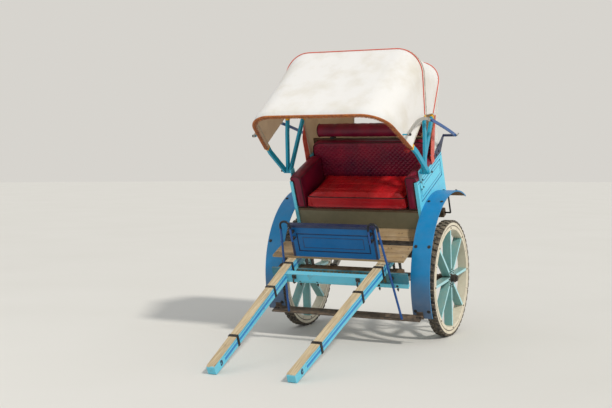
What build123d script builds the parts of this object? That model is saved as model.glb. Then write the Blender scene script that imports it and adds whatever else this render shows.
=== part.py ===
"""Two-wheeled horse cart with a folding canvas hood, parked on the tips of its shafts.

Everything is drawn in the cart's own level frame: front towards -Y, left towards +X,
the floor at Z = 0 under the wheels and the axle above the origin. The finished pieces
are then tipped forward about the axle until the shaft tips meet the floor.
"""

import os
from math import asin, atan2, cos, degrees, hypot, radians, sin, sqrt

from build123d import *

# Driving dimensions in millimetres

wheelRadius = 535.0
treadDepth = 12.0
tyreSectionHeight = 23.0
felloeDepth = 64.0
felloeWidth = 84.0
tyreWidth = 92.0
trackWidth = 1454.0
lugCount = 50
lugShare = 0.58
spokeCount = 8
spokeThickness = 25.0
spokeWidth = 76.0
spokePhase = 5.0
hubRadius = 42.0
hubLength = 160.0
hubStep = 8.0
grooveShare = 0.55
grooveWidth = 8.0
grooveDepth = 4.0
journalRadius = 17.5
runningGap = 0.05
axleBeam = 45.0
collarLength = 9.0
collarGap = 1.0
nutThickness = 14.0

shaftTipAhead = 2450.0
shaftStraightAhead = 800.0
shaftTipSpread = 680.0
shaftSpread = 860.0
shaftWidth = 75.0
shaftTipWidth = 70.0
shaftHeight = 100.0
shaftTipHeight = 80.0
shaftBottom = 988.0
shaftTipRound = 18.0
shaftHoleRadius = 8.0
shaftBehindSpring = 115.0
shaftHoleBack = 110.0
bandPlaces = (2020.0, 1250.0, 830.0)
crossbarAhead = 960.0
hookX = 300.0
fasciaHalf = 650.0
fasciaDrop = 55.0

bodyRear = 550.0
bodyOuter = 625.0
panelThickness = 30.0
panelFront = -160.0
panelTop = 1568.0
boardThickness = 20.0
boardCount = 9
boardGap = 4.0
platformFront = -735.0
bearerHeight = 70.0
bearerWidth = 70.0
softGap = 0.3
bearerInsideSpring = 130.0
middleBearerY = 120.0

seatTop = 1443.0
seatThickness = 150.0
seatHalfWidth = 500.0
backrestFront = 330.0
backrestThickness = 80.0
backrestTop = 1753.0
backBoardThickness = 18.0
rollRadius = 65.0
rollHalfLength = 510.0
rollCentreY = 400.0
rollCentreZ = 1853.0
armrestRound = 25.0
railHeight = 60.0

railFront = 330.0
seatFrontY = -150.0
windowHalf = 240.0
windowLow = 1795.0
windowHigh = 2300.0
windowRound = 30.0

hoodPivotY = -60.0
hoodPivotZ = 1635.0
hoodPinRadius = 8.0
bowThickness = 22.0
bowDepth = 45.0
bowGap = 5.0
bowCorner = 235.0
bowKnee = 350.0
clothThickness = 3.0
curtainInset = 8.0

stayPivotReach = 640.0
stayLowerBehind = 110.0
stayLowerAbove = 56.0
stayUpperLength = 545.0
stayLowerLength = 680.0
stayWidth = 26.0
stayThickness = 12.0
stayPinRadius = 6.0
stayPinEnd = 3.0
stayUpperRise = 60.0
stayLowerRise = 6.0
stayGap = 8.0

mudguardRadius = 749.0
mudguardCentreY = 57.0
mudguardCentreZ = 571.0
mudguardThickness = 4.0
guardStayRadius = 8.0
guardStayOut = 25.0
mudguardWidth = 172.0
mudguardFrontAngle = 184.0
mudguardRearAngle = 44.5

springHalfSpan = 430.0
springEyeZ = 838.0
leafThickness = 7.0
leafWidth = 50.0
leafCount = 5
leafStep = 0.17
eyeRadius = 16.0
eyeBoltRadius = 7.0

dashInset = 25.0
dashTop = 1398.0
dashThickness = 40.0
dashStile = 60.0
dashMoulding = 12.0
dashRecess = 8.0
stepZ = 545.0
stepThickness = 8.0
rodRadius = 10.0
rodGap = 3.0
rodInset = 35.0
rodSplay = 90.0
crookRadius = 45.0
crookRise = 30.0
stepHalf = 720.0
fasciaRail = 12.0

rearBowReach = 1120.0
middleBowReach = 1075.0
frontBowReach = 995.0
rearClothFoot = 575.0
middleClothFoot = 500.0
frontClothFoot = 450.0
rearShoulder = 640.0
frontShoulder = 605.0

# Bows of the hood: name, lean when raised, lean when folded, reach, foot of the cloth
# and half width between the shoulders. A lean is measured from upright, positive
# towards the rear.
bows = [
    ("rear", 51.0, 82.0, rearBowReach, rearClothFoot, rearShoulder),
    ("middle", 21.0, 75.0, middleBowReach, middleClothFoot, rearShoulder),
    ("front", -37.0, 66.0, frontBowReach, frontClothFoot, frontShoulder),
]

# Sizes that follow from the driving dimensions

axleZ = wheelRadius
treadRadius = wheelRadius - treadDepth
felloeOuter = wheelRadius - tyreSectionHeight
felloeInner = felloeOuter - felloeDepth
shaftTop = shaftBottom + shaftHeight
floorTop = shaftTop + boardThickness
bearerBottom = shaftBottom - bearerHeight
seatBottom = seatTop - seatThickness
deckTop = seatBottom - softGap
deckBottom = deckTop - boardThickness
bodyInner = bodyOuter - panelThickness
plateOuter = bodyOuter + 6.0
railTop = panelTop + railHeight
shaftRear = springHalfSpan + shaftBehindSpring
widthReach = trackWidth / 2 + mudguardWidth
backBoardFront = backrestFront + backrestThickness + softGap
wheelX = trackWidth / 2
springX = shaftSpread / 2
dashHalfWidth = shaftSpread / 2 - dashInset
stayLowerY = bodyRear + stayLowerBehind
stayLowerZ = railTop + stayLowerAbove
springSeatZ = axleZ + axleBeam / 2
mudguardTop = mudguardCentreZ + mudguardRadius + mudguardThickness
bowsOuter = plateOuter + 3 * (bowGap + bowThickness)
upperStayX = bowsOuter + stayGap
lowerStayX = upperStayX + stayThickness + stayGap
eyeDrop = springEyeZ - shaftBottom
guardOuter = mudguardRadius + mudguardThickness
fasciaFront = platformFront - boardThickness
rodY = fasciaFront - fasciaRail - rodGap - rodRadius


def parkingAngle():
    """Lean of the cart, in degrees, at which the rounded shaft tips touch the floor."""
    ahead = shaftTipAhead - shaftTipRound
    above = shaftTop - shaftTipHeight + shaftTipRound - axleZ
    drop = wheelRadius - shaftTipRound
    return degrees(atan2(above, ahead) + asin(drop / hypot(ahead, above)))


parkAngle = parkingAngle()


def block(x, y, z):
    """Box between two ends along each axis."""
    size = [b - a for a, b in (x, y, z)]
    middle = [(a + b) / 2 for a, b in (x, y, z)]
    return Pos(*middle) * Box(*size)


def rodAlongX(radius, x0, x1, y, z):
    """Round bar from x0 to x1."""
    return Pos((x0 + x1) / 2, y, z) * Rot(0, 90, 0) * Cylinder(radius, abs(x1 - x0))


def sidePlane(x, y=0.0, z=0.0):
    """Upright plane seen from the side: its X runs to the rear and its Y up."""
    return Plane(origin=(x, y, z), x_dir=(0, 1, 0), z_dir=(1, 0, 0))


def bothSides(*solids):
    """The given solids and their mirror images across the middle of the cart."""
    pair = list(solids)
    pair += [mirror(solid, about=Plane.YZ) for solid in solids]
    return pair


def bowPlane(lean):
    """Plane of a bow: X across the cart, Y along the leg away from the pivot."""
    normal = (0, -cos(radians(lean)), sin(radians(lean)))
    return Plane(origin=(0, hoodPivotY, hoodPivotZ), x_dir=(1, 0, 0), z_dir=normal)


def archFace(footHalf, topHalf, foot, top, corner):
    """Outline with upright legs up to the knee, leaning legs above and two rounded shoulders."""
    knee = max(foot, bowKnee)
    half = footHalf + (topHalf - footHalf) * (foot - bowKnee) / (top - bowKnee) if foot > bowKnee else footHalf
    points = [(-half, foot), (-topHalf, top), (topHalf, top), (half, foot)]
    if foot < knee:
        points = [(-half, foot), (-half, knee)] + points[1:3] + [(half, knee), (half, foot)]
    outline = make_face(Polyline(*points, close=True))
    return fillet(outline.vertices().group_by(Axis.Y)[-1], corner)


def archBand(footHalf, topHalf, foot, top, corner, thickness):
    """Band of even thickness that follows the arch and is open at the foot."""
    outer = archFace(footHalf, topHalf, foot, top, corner)
    inner = archFace(
        footHalf - thickness, topHalf - thickness, foot, top - thickness, corner - thickness
    )
    return outer - inner


def bowCentre(index):
    """Distance of a bow's legs from the middle of the cart."""
    return plateOuter + bowGap + bowThickness / 2 + index * (bowThickness + bowGap)


def legCentre(index, reach):
    """Distance of a bow's leg from the middle of the cart at a reach from the pivot."""
    name, lean, folded, top, foot, shoulder = bows[index]
    start = bowCentre(index)
    if reach < bowKnee:
        return start
    return start + (shoulder - start) * (reach - bowKnee) / (top - bowKnee)


def pointAt(lean, reach):
    """Point in side view at a reach from the hood pivot along a lean."""
    return hoodPivotY + reach * sin(radians(lean)), hoodPivotZ + reach * cos(radians(lean))


def knuckleAt(lean):
    """Place of the stay's knuckle in side view when the front bow has a lean."""
    upperY, upperZ = pointAt(lean, stayPivotReach)
    dy, dz = upperY - stayLowerY, upperZ - stayLowerZ
    span = hypot(dy, dz)
    along = (stayLowerLength**2 - stayUpperLength**2 + span**2) / (2 * span)
    rise = sqrt(stayLowerLength**2 - along**2)
    y = stayLowerY + along * dy / span + rise * dz / span
    z = stayLowerZ + along * dz / span - rise * dy / span
    return y, z


def tyre():
    """Rubber ring with two staggered rows of lugs, standing on the middle of one lug."""
    pitch = 360 / lugCount
    rows = []
    for side in (-1, 1):
        points = []
        for lug in range(lugCount):
            start = 270 + (lug - lugShare / 2) * pitch + (side + 1) * pitch / 4
            for offset, radius in (
                (0.02, wheelRadius),
                (lugShare - 0.02, wheelRadius),
                (lugShare + 0.04, treadRadius),
                (0.96, treadRadius),
            ):
                angle = radians(start + offset * pitch)
                points.append((radius * cos(angle), radius * sin(angle)))
        outline = make_face(Polyline(*points, close=True)) - Circle(felloeOuter)
        rows.append(extrude(outline, side * tyreWidth / 2))
    return rows[0] + rows[1]


def felloe():
    """Wooden rim with a groove round each face."""
    half = felloeWidth / 2
    middle = felloeInner + grooveShare * felloeDepth
    ring = Cylinder(felloeOuter, felloeWidth) - Cylinder(felloeInner, felloeWidth)
    cut = Cylinder(middle + grooveWidth / 2, grooveDepth) - Cylinder(middle - grooveWidth / 2, grooveDepth)
    for end in (-1, 1):
        ring -= Pos(0, 0, end * (half - grooveDepth / 2)) * cut
    return ring


def spokes():
    """Flat planks between the hub and the felloe."""
    ring = Cylinder(felloeInner, spokeWidth) - Cylinder(hubRadius, spokeWidth)
    planks = []
    for number in range(spokeCount):
        plank = Pos(felloeInner / 2, 0, 0) * Box(felloeInner + 20, spokeThickness, spokeWidth)
        turned = Rot(0, 0, spokePhase + number * 360 / spokeCount) * plank
        planks += (turned & ring).solids()
    return planks


def hub():
    """Iron hub barrel with a narrower nose at each end and a bore for the journal."""
    barrel = Cylinder(hubRadius, spokeWidth) + Cylinder(hubRadius - hubStep, hubLength)
    return barrel - Cylinder(journalRadius + runningGap, hubLength)


def wheel(side):
    """The pieces of one wheel by node name, standing upright with its axis along X."""
    name = "left" if side > 0 else "right"
    place = sidePlane(side * wheelX, 0, axleZ)
    pieces = {"tyre": [tyre()], "rim": [felloe()], "spokes": spokes(), "hub": [hub()]}
    return {f"{part}_{name}": [place * solid for solid in solids] for part, solids in pieces.items()}


def axle():
    """Square beam with a collar and a round journal at each end."""
    beamEnd = wheelX - hubLength / 2 - collarLength - collarGap
    half = axleBeam / 2
    beam = block((-beamEnd, beamEnd), (-half, half), (axleZ - half, axleZ + half))
    journalEnd = wheelX + hubLength / 2 + nutThickness + 4
    journal = rodAlongX(journalRadius, -journalEnd, journalEnd, 0, axleZ)
    collars = [rodAlongX(30, side * beamEnd, side * (beamEnd + collarLength), 0, axleZ) for side in (-1, 1)]
    return [beam + journal + collars]


def axleNuts():
    """Nuts that keep the wheels on their journals."""
    face = wheelX + hubLength / 2 + collarGap
    prism = extrude(RegularPolygon(28, 6), nutThickness) - Cylinder(journalRadius, 60)
    return bothSides(sidePlane(face, 0, axleZ) * prism)


def springLeaves():
    """One leaf spring a side, its leaves bent upwards over the axle."""
    sag = springEyeZ - springSeatZ - leafThickness * (leafCount - 0.5)
    radius = (springHalfSpan**2 + sag**2) / (2 * sag)
    halfAngle = degrees(asin(springHalfSpan / radius))
    centreZ = springEyeZ - sag + radius
    leaves = []
    for number in range(leafCount):
        share = 1 - number * leafStep
        leafRadius = radius + number * leafThickness
        inner = Circle(leafRadius + leafThickness / 2) - Circle(leafRadius - leafThickness / 2)
        reach = halfAngle * share
        aside = 2 * radius * sin(radians(reach))
        below = -2 * radius * cos(radians(reach))
        wedge = Polyline((0, 0), (-aside, below), (0, 1.2 * below), (aside, below), close=True)
        leaves.append(extrude(inner & make_face(wedge), leafWidth / 2, both=True))
    spring = leaves[0] + leaves[1:]
    for end in (-1, 1):
        eye = Pos(end * springHalfSpan, springEyeZ - centreZ) * Circle(eyeRadius)
        spring += extrude(eye, leafWidth / 2, both=True)
    for end in (-1, 1):
        bolt = Pos(end * springHalfSpan, springEyeZ - centreZ) * Circle(eyeBoltRadius)
        spring -= extrude(bolt, leafWidth, both=True)
    return bothSides(sidePlane(springX, 0, centreZ) * spring)


def springClamps():
    """U-bolt clamps that hold the springs down on the axle beam."""
    packTop = springSeatZ + leafCount * leafThickness
    clamps = []
    for place in (-30, 30):
        loop = block(
            (springX - leafWidth / 2 - 10, springX + leafWidth / 2 + 10),
            (place - 6, place + 6),
            (axleZ - axleBeam / 2 - 10, packTop + 12),
        )
        loop -= block(
            (springX - leafWidth / 2, springX + leafWidth / 2),
            (place - 6, place + 6),
            (axleZ - axleBeam / 2, packTop + 2),
        )
        clamps.append(loop)
    plate = block(
        (springX - leafWidth / 2 - 10, springX + leafWidth / 2 + 10),
        (-40, 40),
        (axleZ - axleBeam / 2 - 18, axleZ - axleBeam / 2 - 10),
    )
    return bothSides(clamps[0] + clamps[1] + plate)


def springHangers():
    """Fixed hanger in front and swinging shackle behind each spring, with their bolts."""
    half = leafWidth / 2 + 1
    pieces = []
    for end in (-1, 1):
        y = end * springHalfSpan
        plates = []
        for x in (springX - half - 8, springX + half):
            face = make_face(Polyline((-34, 0), (34, 0), (eyeRadius, eyeDrop), (-eyeRadius, eyeDrop), close=True))
            face += Pos(0, eyeDrop) * Circle(eyeRadius)
            plates.append(sidePlane(x, y, shaftBottom) * extrude(face, 8))
        bridge = block(
            (springX - half - 8, springX + half + 8),
            (y - 34, y + 34),
            (shaftBottom - 8, shaftBottom),
        )
        bolt = rodAlongX(eyeBoltRadius, springX - half - 14, springX + half + 14, y, springEyeZ)
        pieces.append(plates[0] + plates[1] + bridge + bolt)
    return bothSides(*pieces)


def shafts():
    """Two squared timbers from the tips to the back of the platform."""
    middle = shaftSpread / 2
    rear = block(
        (middle - shaftWidth / 2, middle + shaftWidth / 2),
        (-shaftStraightAhead, shaftRear),
        (shaftBottom, shaftTop),
    )
    back = Pos(middle, -shaftStraightAhead, shaftTop - shaftHeight / 2)
    tip = Pos(shaftTipSpread / 2, -shaftTipAhead, shaftTop - shaftTipHeight / 2)
    sections = [
        back * Rot(90, 0, 0) * Rectangle(shaftWidth, shaftHeight),
        tip * Rot(90, 0, 0) * Rectangle(shaftTipWidth, shaftTipHeight),
    ]
    timber = loft(sections, ruled=True) + rear
    ends = timber.edges().filter_by(Axis.X).group_by(Axis.Y)[0]
    timber = fillet(ends, shaftTipRound)
    holeY = shaftHoleBack - shaftTipAhead
    timber -= rodAlongX(shaftHoleRadius, 0, bodyOuter, holeY, shaftTop - shaftTipHeight / 2)
    return bothSides(timber)


def shaftBands():
    """Iron bands round the shafts behind the tips."""
    bands = []
    for ahead in bandPlaces:
        share = (ahead - shaftStraightAhead) / (shaftTipAhead - shaftStraightAhead)
        middle = (shaftSpread + share * (shaftTipSpread - shaftSpread)) / 2
        width = shaftWidth + share * (shaftTipWidth - shaftWidth)
        height = shaftHeight + share * (shaftTipHeight - shaftHeight)
        centre = shaftTop - height / 2
        outer = block(
            (middle - width / 2 - 5, middle + width / 2 + 5),
            (-ahead - 15, -ahead + 15),
            (centre - height / 2 - 4, centre + height / 2 + 4),
        )
        bands.append(outer - shafts()[0])
    return bothSides(*bands)


def crossbar():
    """Timber between the shafts ahead of the platform, with a hook for each trace."""
    inner = (shaftSpread - shaftWidth) / 2
    centre = shaftTop - shaftHeight / 2
    bar = block((-inner, inner), (-crossbarAhead - 30, -crossbarAhead + 30), (centre - 32, centre + 32))
    for timber in shafts():
        bar -= timber
    hooks = []
    for side in (-1, 1):
        x = side * hookX
        stem = block((x - 18, x + 18), (-crossbarAhead - 42, -crossbarAhead - 30), (centre - 7, centre + 27))
        path = CenterArc((0, 0), 22, 90, 190)
        start = Plane(origin=path @ 0, z_dir=path % 0)
        curl = sweep(start * Circle(7), path=path)
        turned = Plane(origin=(x, -crossbarAhead - 42, centre - 22), x_dir=(0, 1, 0), z_dir=(1, 0, 0)) * curl
        hooks.append(stem + turned)
    return [bar], hooks


def bearers():
    """Cross timbers under the shafts."""
    front = platformFront + bearerWidth / 2
    rear = shaftRear - bearerWidth / 2
    timbers = []
    for place in (front, bearerInsideSpring - springHalfSpan, middleBearerY, rear):
        timbers.append(
            block(
                (-bodyInner, bodyInner),
                (place - bearerWidth / 2, place + bearerWidth / 2),
                (bearerBottom, shaftBottom),
            )
        )
    return timbers


def floorBoards():
    """Boards laid crosswise on the shafts, from the dash to the back of the body."""
    pitch = (bodyRear - platformFront + boardGap) / boardCount
    boards = []
    for number in range(boardCount):
        start = platformFront + number * pitch
        boards.append(
            block((-bodyOuter, bodyOuter), (start, start + pitch - boardGap), (shaftTop, floorTop))
        )
    return boards


def fascia():
    """Board across the front of the platform, with a rail along its lower edge."""
    bottom = bearerBottom - fasciaDrop
    board = block((-fasciaHalf, fasciaHalf), (fasciaFront, platformFront), (bottom, shaftBottom))
    rail = block((-fasciaHalf, fasciaHalf), (fasciaFront - fasciaRail, fasciaFront), (bottom - 8, bottom + 28))
    return [board + rail]


def dash():
    """Upright framed panel at the front of the floor, under a cap rail."""
    back = platformFront + dashThickness
    panel = block((-dashHalfWidth, dashHalfWidth), (platformFront, back), (floorTop, dashTop))
    fields = []
    for inset, start in ((dashStile, 0), (dashStile + dashMoulding, 2)):
        fields.append(
            block(
                (-dashHalfWidth + inset, dashHalfWidth - inset),
                (platformFront + start, platformFront + dashRecess),
                (floorTop + inset - 10, dashTop - inset),
            )
        )
    capRail = block(
        (-dashHalfWidth - 8, dashHalfWidth + 8), (platformFront - 6, back + 6), (dashTop, dashTop + 22)
    )
    return [panel - fields[0] + fields[1] + capRail]


def grabRods():
    """Round rods from the dash, over in a crook and down to the step bar, with clips."""
    inner = dashHalfWidth - rodInset
    outer = inner + 2 * crookRadius
    start = dashTop - 120
    top = dashTop + crookRise
    foot = stepZ + stepThickness
    beyond = stepZ - stepThickness
    slope = rodSplay / (dashTop - foot)
    path = Wire(
        [
            Edge.make_line((inner, rodY, start), (inner, rodY, top)),
            Edge.make_three_point_arc(
                (inner, rodY, top), (inner + crookRadius, rodY, top + crookRadius), (outer, rodY, top)
            ),
            Edge.make_line((outer, rodY, top), (outer, rodY, dashTop)),
            Edge.make_line((outer, rodY, dashTop), (outer + slope * (dashTop - beyond), rodY, beyond)),
        ]
    )
    profile = Plane(origin=(inner, rodY, start), z_dir=(0, 0, 1)) * Circle(rodRadius)
    rod = sweep(profile, path=path, transition=Transition.ROUND)
    rod -= block((0, stepHalf), (rodY - 40, rodY + 40), (foot - 100, foot))
    half = rodRadius + 6
    clips = []
    for z in (start + 20, dashTop - 35):
        clips.append(block((inner - half, inner + half), (rodY, platformFront), (z - 9, z + 9)) - rod)
    x = outer + slope * (dashTop - bearerBottom - 30)
    clips.append(block((x - half, x + half), (rodY, fasciaFront), (bearerBottom + 20, bearerBottom + 40)) - rod)
    return bothSides(rod), bothSides(*clips)


def stepBar():
    """Flat iron bar across the front, bolted to the lower ends of the mudguards."""
    back = mudguardCentreY - guardOuter
    bar = block((-stepHalf, stepHalf), (rodY - rodRadius - 8, back + 20), (stepZ, stepZ + stepThickness))
    for x in (-stepHalf, stepHalf - 60):
        bar += block((x, x + 60), (back - 6, back + 20), (stepZ - 30, stepZ + 40))
    guard = rodAlongX(guardOuter, -widthReach, widthReach, mudguardCentreY, mudguardCentreZ)
    return [bar - guard]


def mudguards():
    """Sheet strips bent over the wheels, with a rolled lip along the outer edge."""
    span = mudguardFrontAngle - mudguardRearAngle
    place = sidePlane(bodyOuter, mudguardCentreY, mudguardCentreZ)
    strip = extrude(sector(mudguardRadius, guardOuter, mudguardRearAngle, span), mudguardWidth)
    lip = extrude(sector(mudguardRadius - 8, guardOuter, mudguardRearAngle, span), 6)
    return bothSides(place * (strip + Pos(0, 0, mudguardWidth - 6) * lip))


def sector(inner, outer, start, span):
    """Flat part of a ring between two radii, from a start angle over a span."""
    a, b, m = (radians(angle) for angle in (start, start + span, start + span / 2))
    edges = [
        Edge.make_three_point_arc(*[(outer * cos(t), outer * sin(t), 0) for t in (a, m, b)]),
        Edge.make_line((outer * cos(b), outer * sin(b), 0), (inner * cos(b), inner * sin(b), 0)),
        Edge.make_three_point_arc(*[(inner * cos(t), inner * sin(t), 0) for t in (b, m, a)]),
        Edge.make_line((inner * cos(a), inner * sin(a), 0), (outer * cos(a), outer * sin(a), 0)),
    ]
    return Face(Wire(edges))


def mudguardStays():
    """Flat bar over the floor in front and bent rods behind that hold the mudguards."""
    inside = rodAlongX(mudguardRadius, -widthReach, widthReach, mudguardCentreY, mudguardCentreZ)
    reach = bodyOuter + mudguardWidth - 20
    rise = floorTop + 6 - mudguardCentreZ
    edge = mudguardCentreY - sqrt(mudguardRadius**2 - rise**2)
    bar = block((-reach, reach), (edge - 20, edge + 60), (floorTop, floorTop + 12)) & inside
    y = shaftRear - 25
    z = bearerBottom + 30
    near = bodyOuter + guardStayOut
    crown = mudguardCentreZ + sqrt(mudguardRadius**2 - (y - mudguardCentreY) ** 2)
    path = Polyline(
        (bodyInner, y, z), (near, y, z), (near, y, crown - 35), (near + 100, y, crown + 40)
    )
    start = Plane(origin=(bodyInner, y, z), z_dir=path % 0)
    rod = sweep(start * Circle(guardStayRadius), path=path, transition=Transition.ROUND)
    rod = (rod & inside).solids()[0]
    return [bar] + bothSides(rod)


def sidePanels():
    """Framed sides of the body, each with a recessed field on its outer face."""
    panel = block((bodyInner, bodyOuter), (panelFront, bodyRear), (floorTop, panelTop))
    low = mudguardTop + 30
    field = block((bodyOuter - 4, bodyOuter), (panelFront + 55, bodyRear - 55), (low, panelTop - 45))
    raised = block((bodyOuter - 4, bodyOuter - 1), (panelFront + 67, bodyRear - 67), (low + 12, panelTop - 57))
    return bothSides(panel - field + raised)


def rearPanel():
    """Closed back of the body between the sides."""
    return [block((-bodyInner, bodyInner), (bodyRear - boardThickness, bodyRear), (floorTop, panelTop))]


def bodyRail():
    """Rail round the back of the body that carries the cloth of the hood."""
    outer = block((-bodyOuter, bodyOuter), (railFront, bodyRear), (panelTop, railTop))
    inner = block((-bodyInner, bodyInner), (railFront, bodyRear - panelThickness), (panelTop, railTop))
    return [outer - inner]


def seatFront():
    """Board under the front edge of the seat."""
    return [block((-bodyInner, bodyInner), (seatFrontY, seatFrontY + boardThickness), (floorTop, deckBottom))]


def seatDeck():
    """Board that carries the cushion, from the seat front to the back of the body."""
    return [block((-bodyInner, bodyInner), (seatFrontY, bodyRear - boardThickness), (deckBottom, deckTop))]


def seatCushion():
    """Padded seat with rounded upper edges."""
    pad = block(
        (-seatHalfWidth, seatHalfWidth), (seatFrontY - 20, backrestFront - softGap), (seatBottom, seatTop)
    )
    return [fillet(pad.edges().filter_by(Axis.X).group_by(Axis.Z)[-1], 25)]


def backrestCushion():
    """Padded backrest with rounded edges in front."""
    pad = block(
        (-bodyInner + softGap, bodyInner - softGap),
        (backrestFront, backrestFront + backrestThickness),
        (seatBottom, backrestTop),
    )
    return [fillet(pad.edges().filter_by(Axis.X).group_by(Axis.Z)[-1], 25)]


def backBoard():
    """Board behind the backrest, standing on the seat deck."""
    return [
        block(
            (-bodyInner, bodyInner),
            (backBoardFront, backBoardFront + backBoardThickness),
            (deckTop, backrestTop + 10),
        )
    ]


def armrests():
    """Padded armrests that lie against the sides and over their upper edges."""
    inner = seatHalfWidth + 6
    profile = Polyline(
        (inner, seatBottom),
        (inner, railTop),
        (bodyOuter, railTop),
        (bodyOuter, panelTop + softGap),
        (bodyInner - softGap, panelTop + softGap),
        (bodyInner - softGap, seatBottom),
        close=True,
    )
    front = Plane(origin=(0, seatFrontY - 14, 0), x_dir=(1, 0, 0), z_dir=(0, -1, 0))
    length = backrestFront - softGap - (seatFrontY - 14)
    pad = extrude(front * make_face(profile), -length)
    upper = pad.edges().filter_by(Axis.Y).group_by(Axis.Z)[-1]
    return bothSides(fillet(upper, min(armrestRound, railHeight / 2.4)))


def backRoll():
    """Round bolster above the backrest."""
    return [rodAlongX(rollRadius, -rollHalfLength, rollHalfLength, rollCentreY, rollCentreZ)]


def rollBrackets():
    """Flat irons from the back board up to the bolster."""
    face = backBoardFront + backBoardThickness
    roll = rodAlongX(rollRadius + softGap, -widthReach, widthReach, rollCentreY, rollCentreZ)
    irons = []
    for x in (-380, 380):
        iron = block((x - 18, x + 18), (face, face + 6), (backrestTop - 160, rollCentreZ))
        saddle = block(
            (x - 18, x + 18), (rollCentreY - 30, face + 6), (rollCentreZ - rollRadius - 12, rollCentreZ - 45)
        )
        irons.append(iron + saddle - roll)
    return irons


def hoodPlates():
    """Plates on the sides of the body with the pins that the bows turn on."""
    plate = block(
        (bodyOuter, plateOuter), (hoodPivotY - 40, hoodPivotY + 40), (panelTop - 110, hoodPivotZ + 20)
    )
    plate = fillet(plate.edges().filter_by(Axis.X).group_by(Axis.Z)[-1], 18)
    end = bowCentre(len(bows) - 1) + bowThickness / 2 + bowGap
    pin = rodAlongX(hoodPinRadius, plateOuter, end + 10, hoodPivotY, hoodPivotZ)
    head = rodAlongX(hoodPinRadius + 6, end, end + 8, hoodPivotY, hoodPivotZ)
    return bothSides(plate + pin + head)


def bow(index):
    """One bent bow of the hood with an eye round the pin at the foot of each leg."""
    name, lean, folded, reach, foot, shoulder = bows[index]
    centre = bowCentre(index)
    half = bowThickness / 2
    band = archBand(centre + half, shoulder + half, 0, reach, bowCorner, bowThickness)
    frame = bowPlane(lean) * extrude(band, bowDepth / 2, both=True)
    for side in (-1, 1):
        x0, x1 = side * centre - bowThickness / 2, side * centre + bowThickness / 2
        frame += rodAlongX(bowDepth / 2, x0, x1, hoodPivotY, hoodPivotZ)
    frame -= rodAlongX(hoodPinRadius + runningGap, -widthReach, widthReach, hoodPivotY, hoodPivotZ)
    return frame


def bowFront():
    """The front bow, with the pins that hold the upper stays."""
    lean = bows[-1][1]
    face = legCentre(len(bows) - 1, stayPivotReach)
    y, z = pointAt(lean, stayPivotReach)
    pins = []
    for side in (-1, 1):
        pins.append(rodAlongX(stayPinRadius, side * face, side * (upperStayX + stayThickness + stayPinEnd), y, z))
    return [bow(len(bows) - 1) + pins]


def clothSection(index, offset, drop=0.0):
    """Band of cloth just outside a bow, at an offset from the bow's middle plane."""
    name, lean, folded, reach, foot, shoulder = bows[index]
    outside = bowThickness / 2 + softGap + clothThickness
    legs, shoulders = bowCentre(index) + outside, shoulder + outside
    top = reach + softGap + clothThickness
    corner = bowCorner + softGap + clothThickness
    return bowPlane(lean).offset(offset) * archBand(legs, shoulders, foot, top, corner, clothThickness)


def hoodCloth(index):
    """Cloth over one bow and on to the next bow behind it."""
    half = bowDepth / 2
    ahead = clothSection(index, half)
    over = extrude(ahead, -bowDepth)
    behind = clothSection(index - 1, half + softGap)
    between = loft([clothSection(index, -half).face(), behind.face()], ruled=True)
    return over + between - stayHoles()


def stayHoles():
    """Holes in the cloth round the pins of the upper stays."""
    y, z = pointAt(bows[-1][1], stayPivotReach)
    return rodAlongX(stayPinRadius + 6, -widthReach, widthReach, y, z)


def backCurtain():
    """Cloth over the rear bow and down to the rail, with an open window."""
    over = extrude(clothSection(0, bowDepth / 2), -bowDepth)
    rail = bowPlane(90).offset(railTop - hoodPivotZ + softGap)
    depth = bodyRear - hoodPivotY + clothThickness
    half = bodyOuter - curtainInset
    lower = rail * archBand(half, half, railFront - hoodPivotY, depth, 40, clothThickness)
    curtain = over + loft([clothSection(0, -bowDepth / 2).face(), lower.face()], ruled=True)
    window = block((-windowHalf, windowHalf), (bodyRear - 120, bodyRear + 400), (windowLow, windowHigh))
    window = fillet(window.edges().filter_by(Axis.Y), windowRound)
    return [curtain - window]


def stayLink(start, end, x, rise):
    """Bent flat bar between two pivots in side view."""
    dy, dz = end[0] - start[0], end[1] - start[1]
    span = hypot(dy, dz)
    middle = ((start[0] + end[0]) / 2 - dz / span * rise, (start[1] + end[1]) / 2 + dy / span * rise)
    arc = ThreePointArc(start, middle, end)
    return sidePlane(x) * extrude(SlotArc(arc, stayWidth), stayThickness)


def hoodStays():
    """Folding stays: an upper link on the front bow and a lower link on the body."""
    knuckle = knuckleAt(bows[-1][1])
    upperEnd = pointAt(bows[-1][1], stayPivotReach)
    lowerEnd = (stayLowerY, stayLowerZ)
    pinHole = stayPinRadius + runningGap
    upper = stayLink(knuckle, upperEnd, upperStayX, -stayUpperRise)
    upper -= rodAlongX(pinHole, upperStayX - 5, lowerStayX, *upperEnd)
    upper += rodAlongX(stayPinRadius + 3, upperStayX - 3, upperStayX + stayThickness + 1, *knuckle)
    lower = stayLink(lowerEnd, knuckle, lowerStayX, -stayLowerRise)
    lower -= rodAlongX(pinHole, lowerStayX - 5, lowerStayX + 20, *lowerEnd)
    lower += rodAlongX(stayPinRadius, lowerStayX - stayGap + 2, lowerStayX, *knuckle)
    return bothSides(upper), bothSides(lower)


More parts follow.
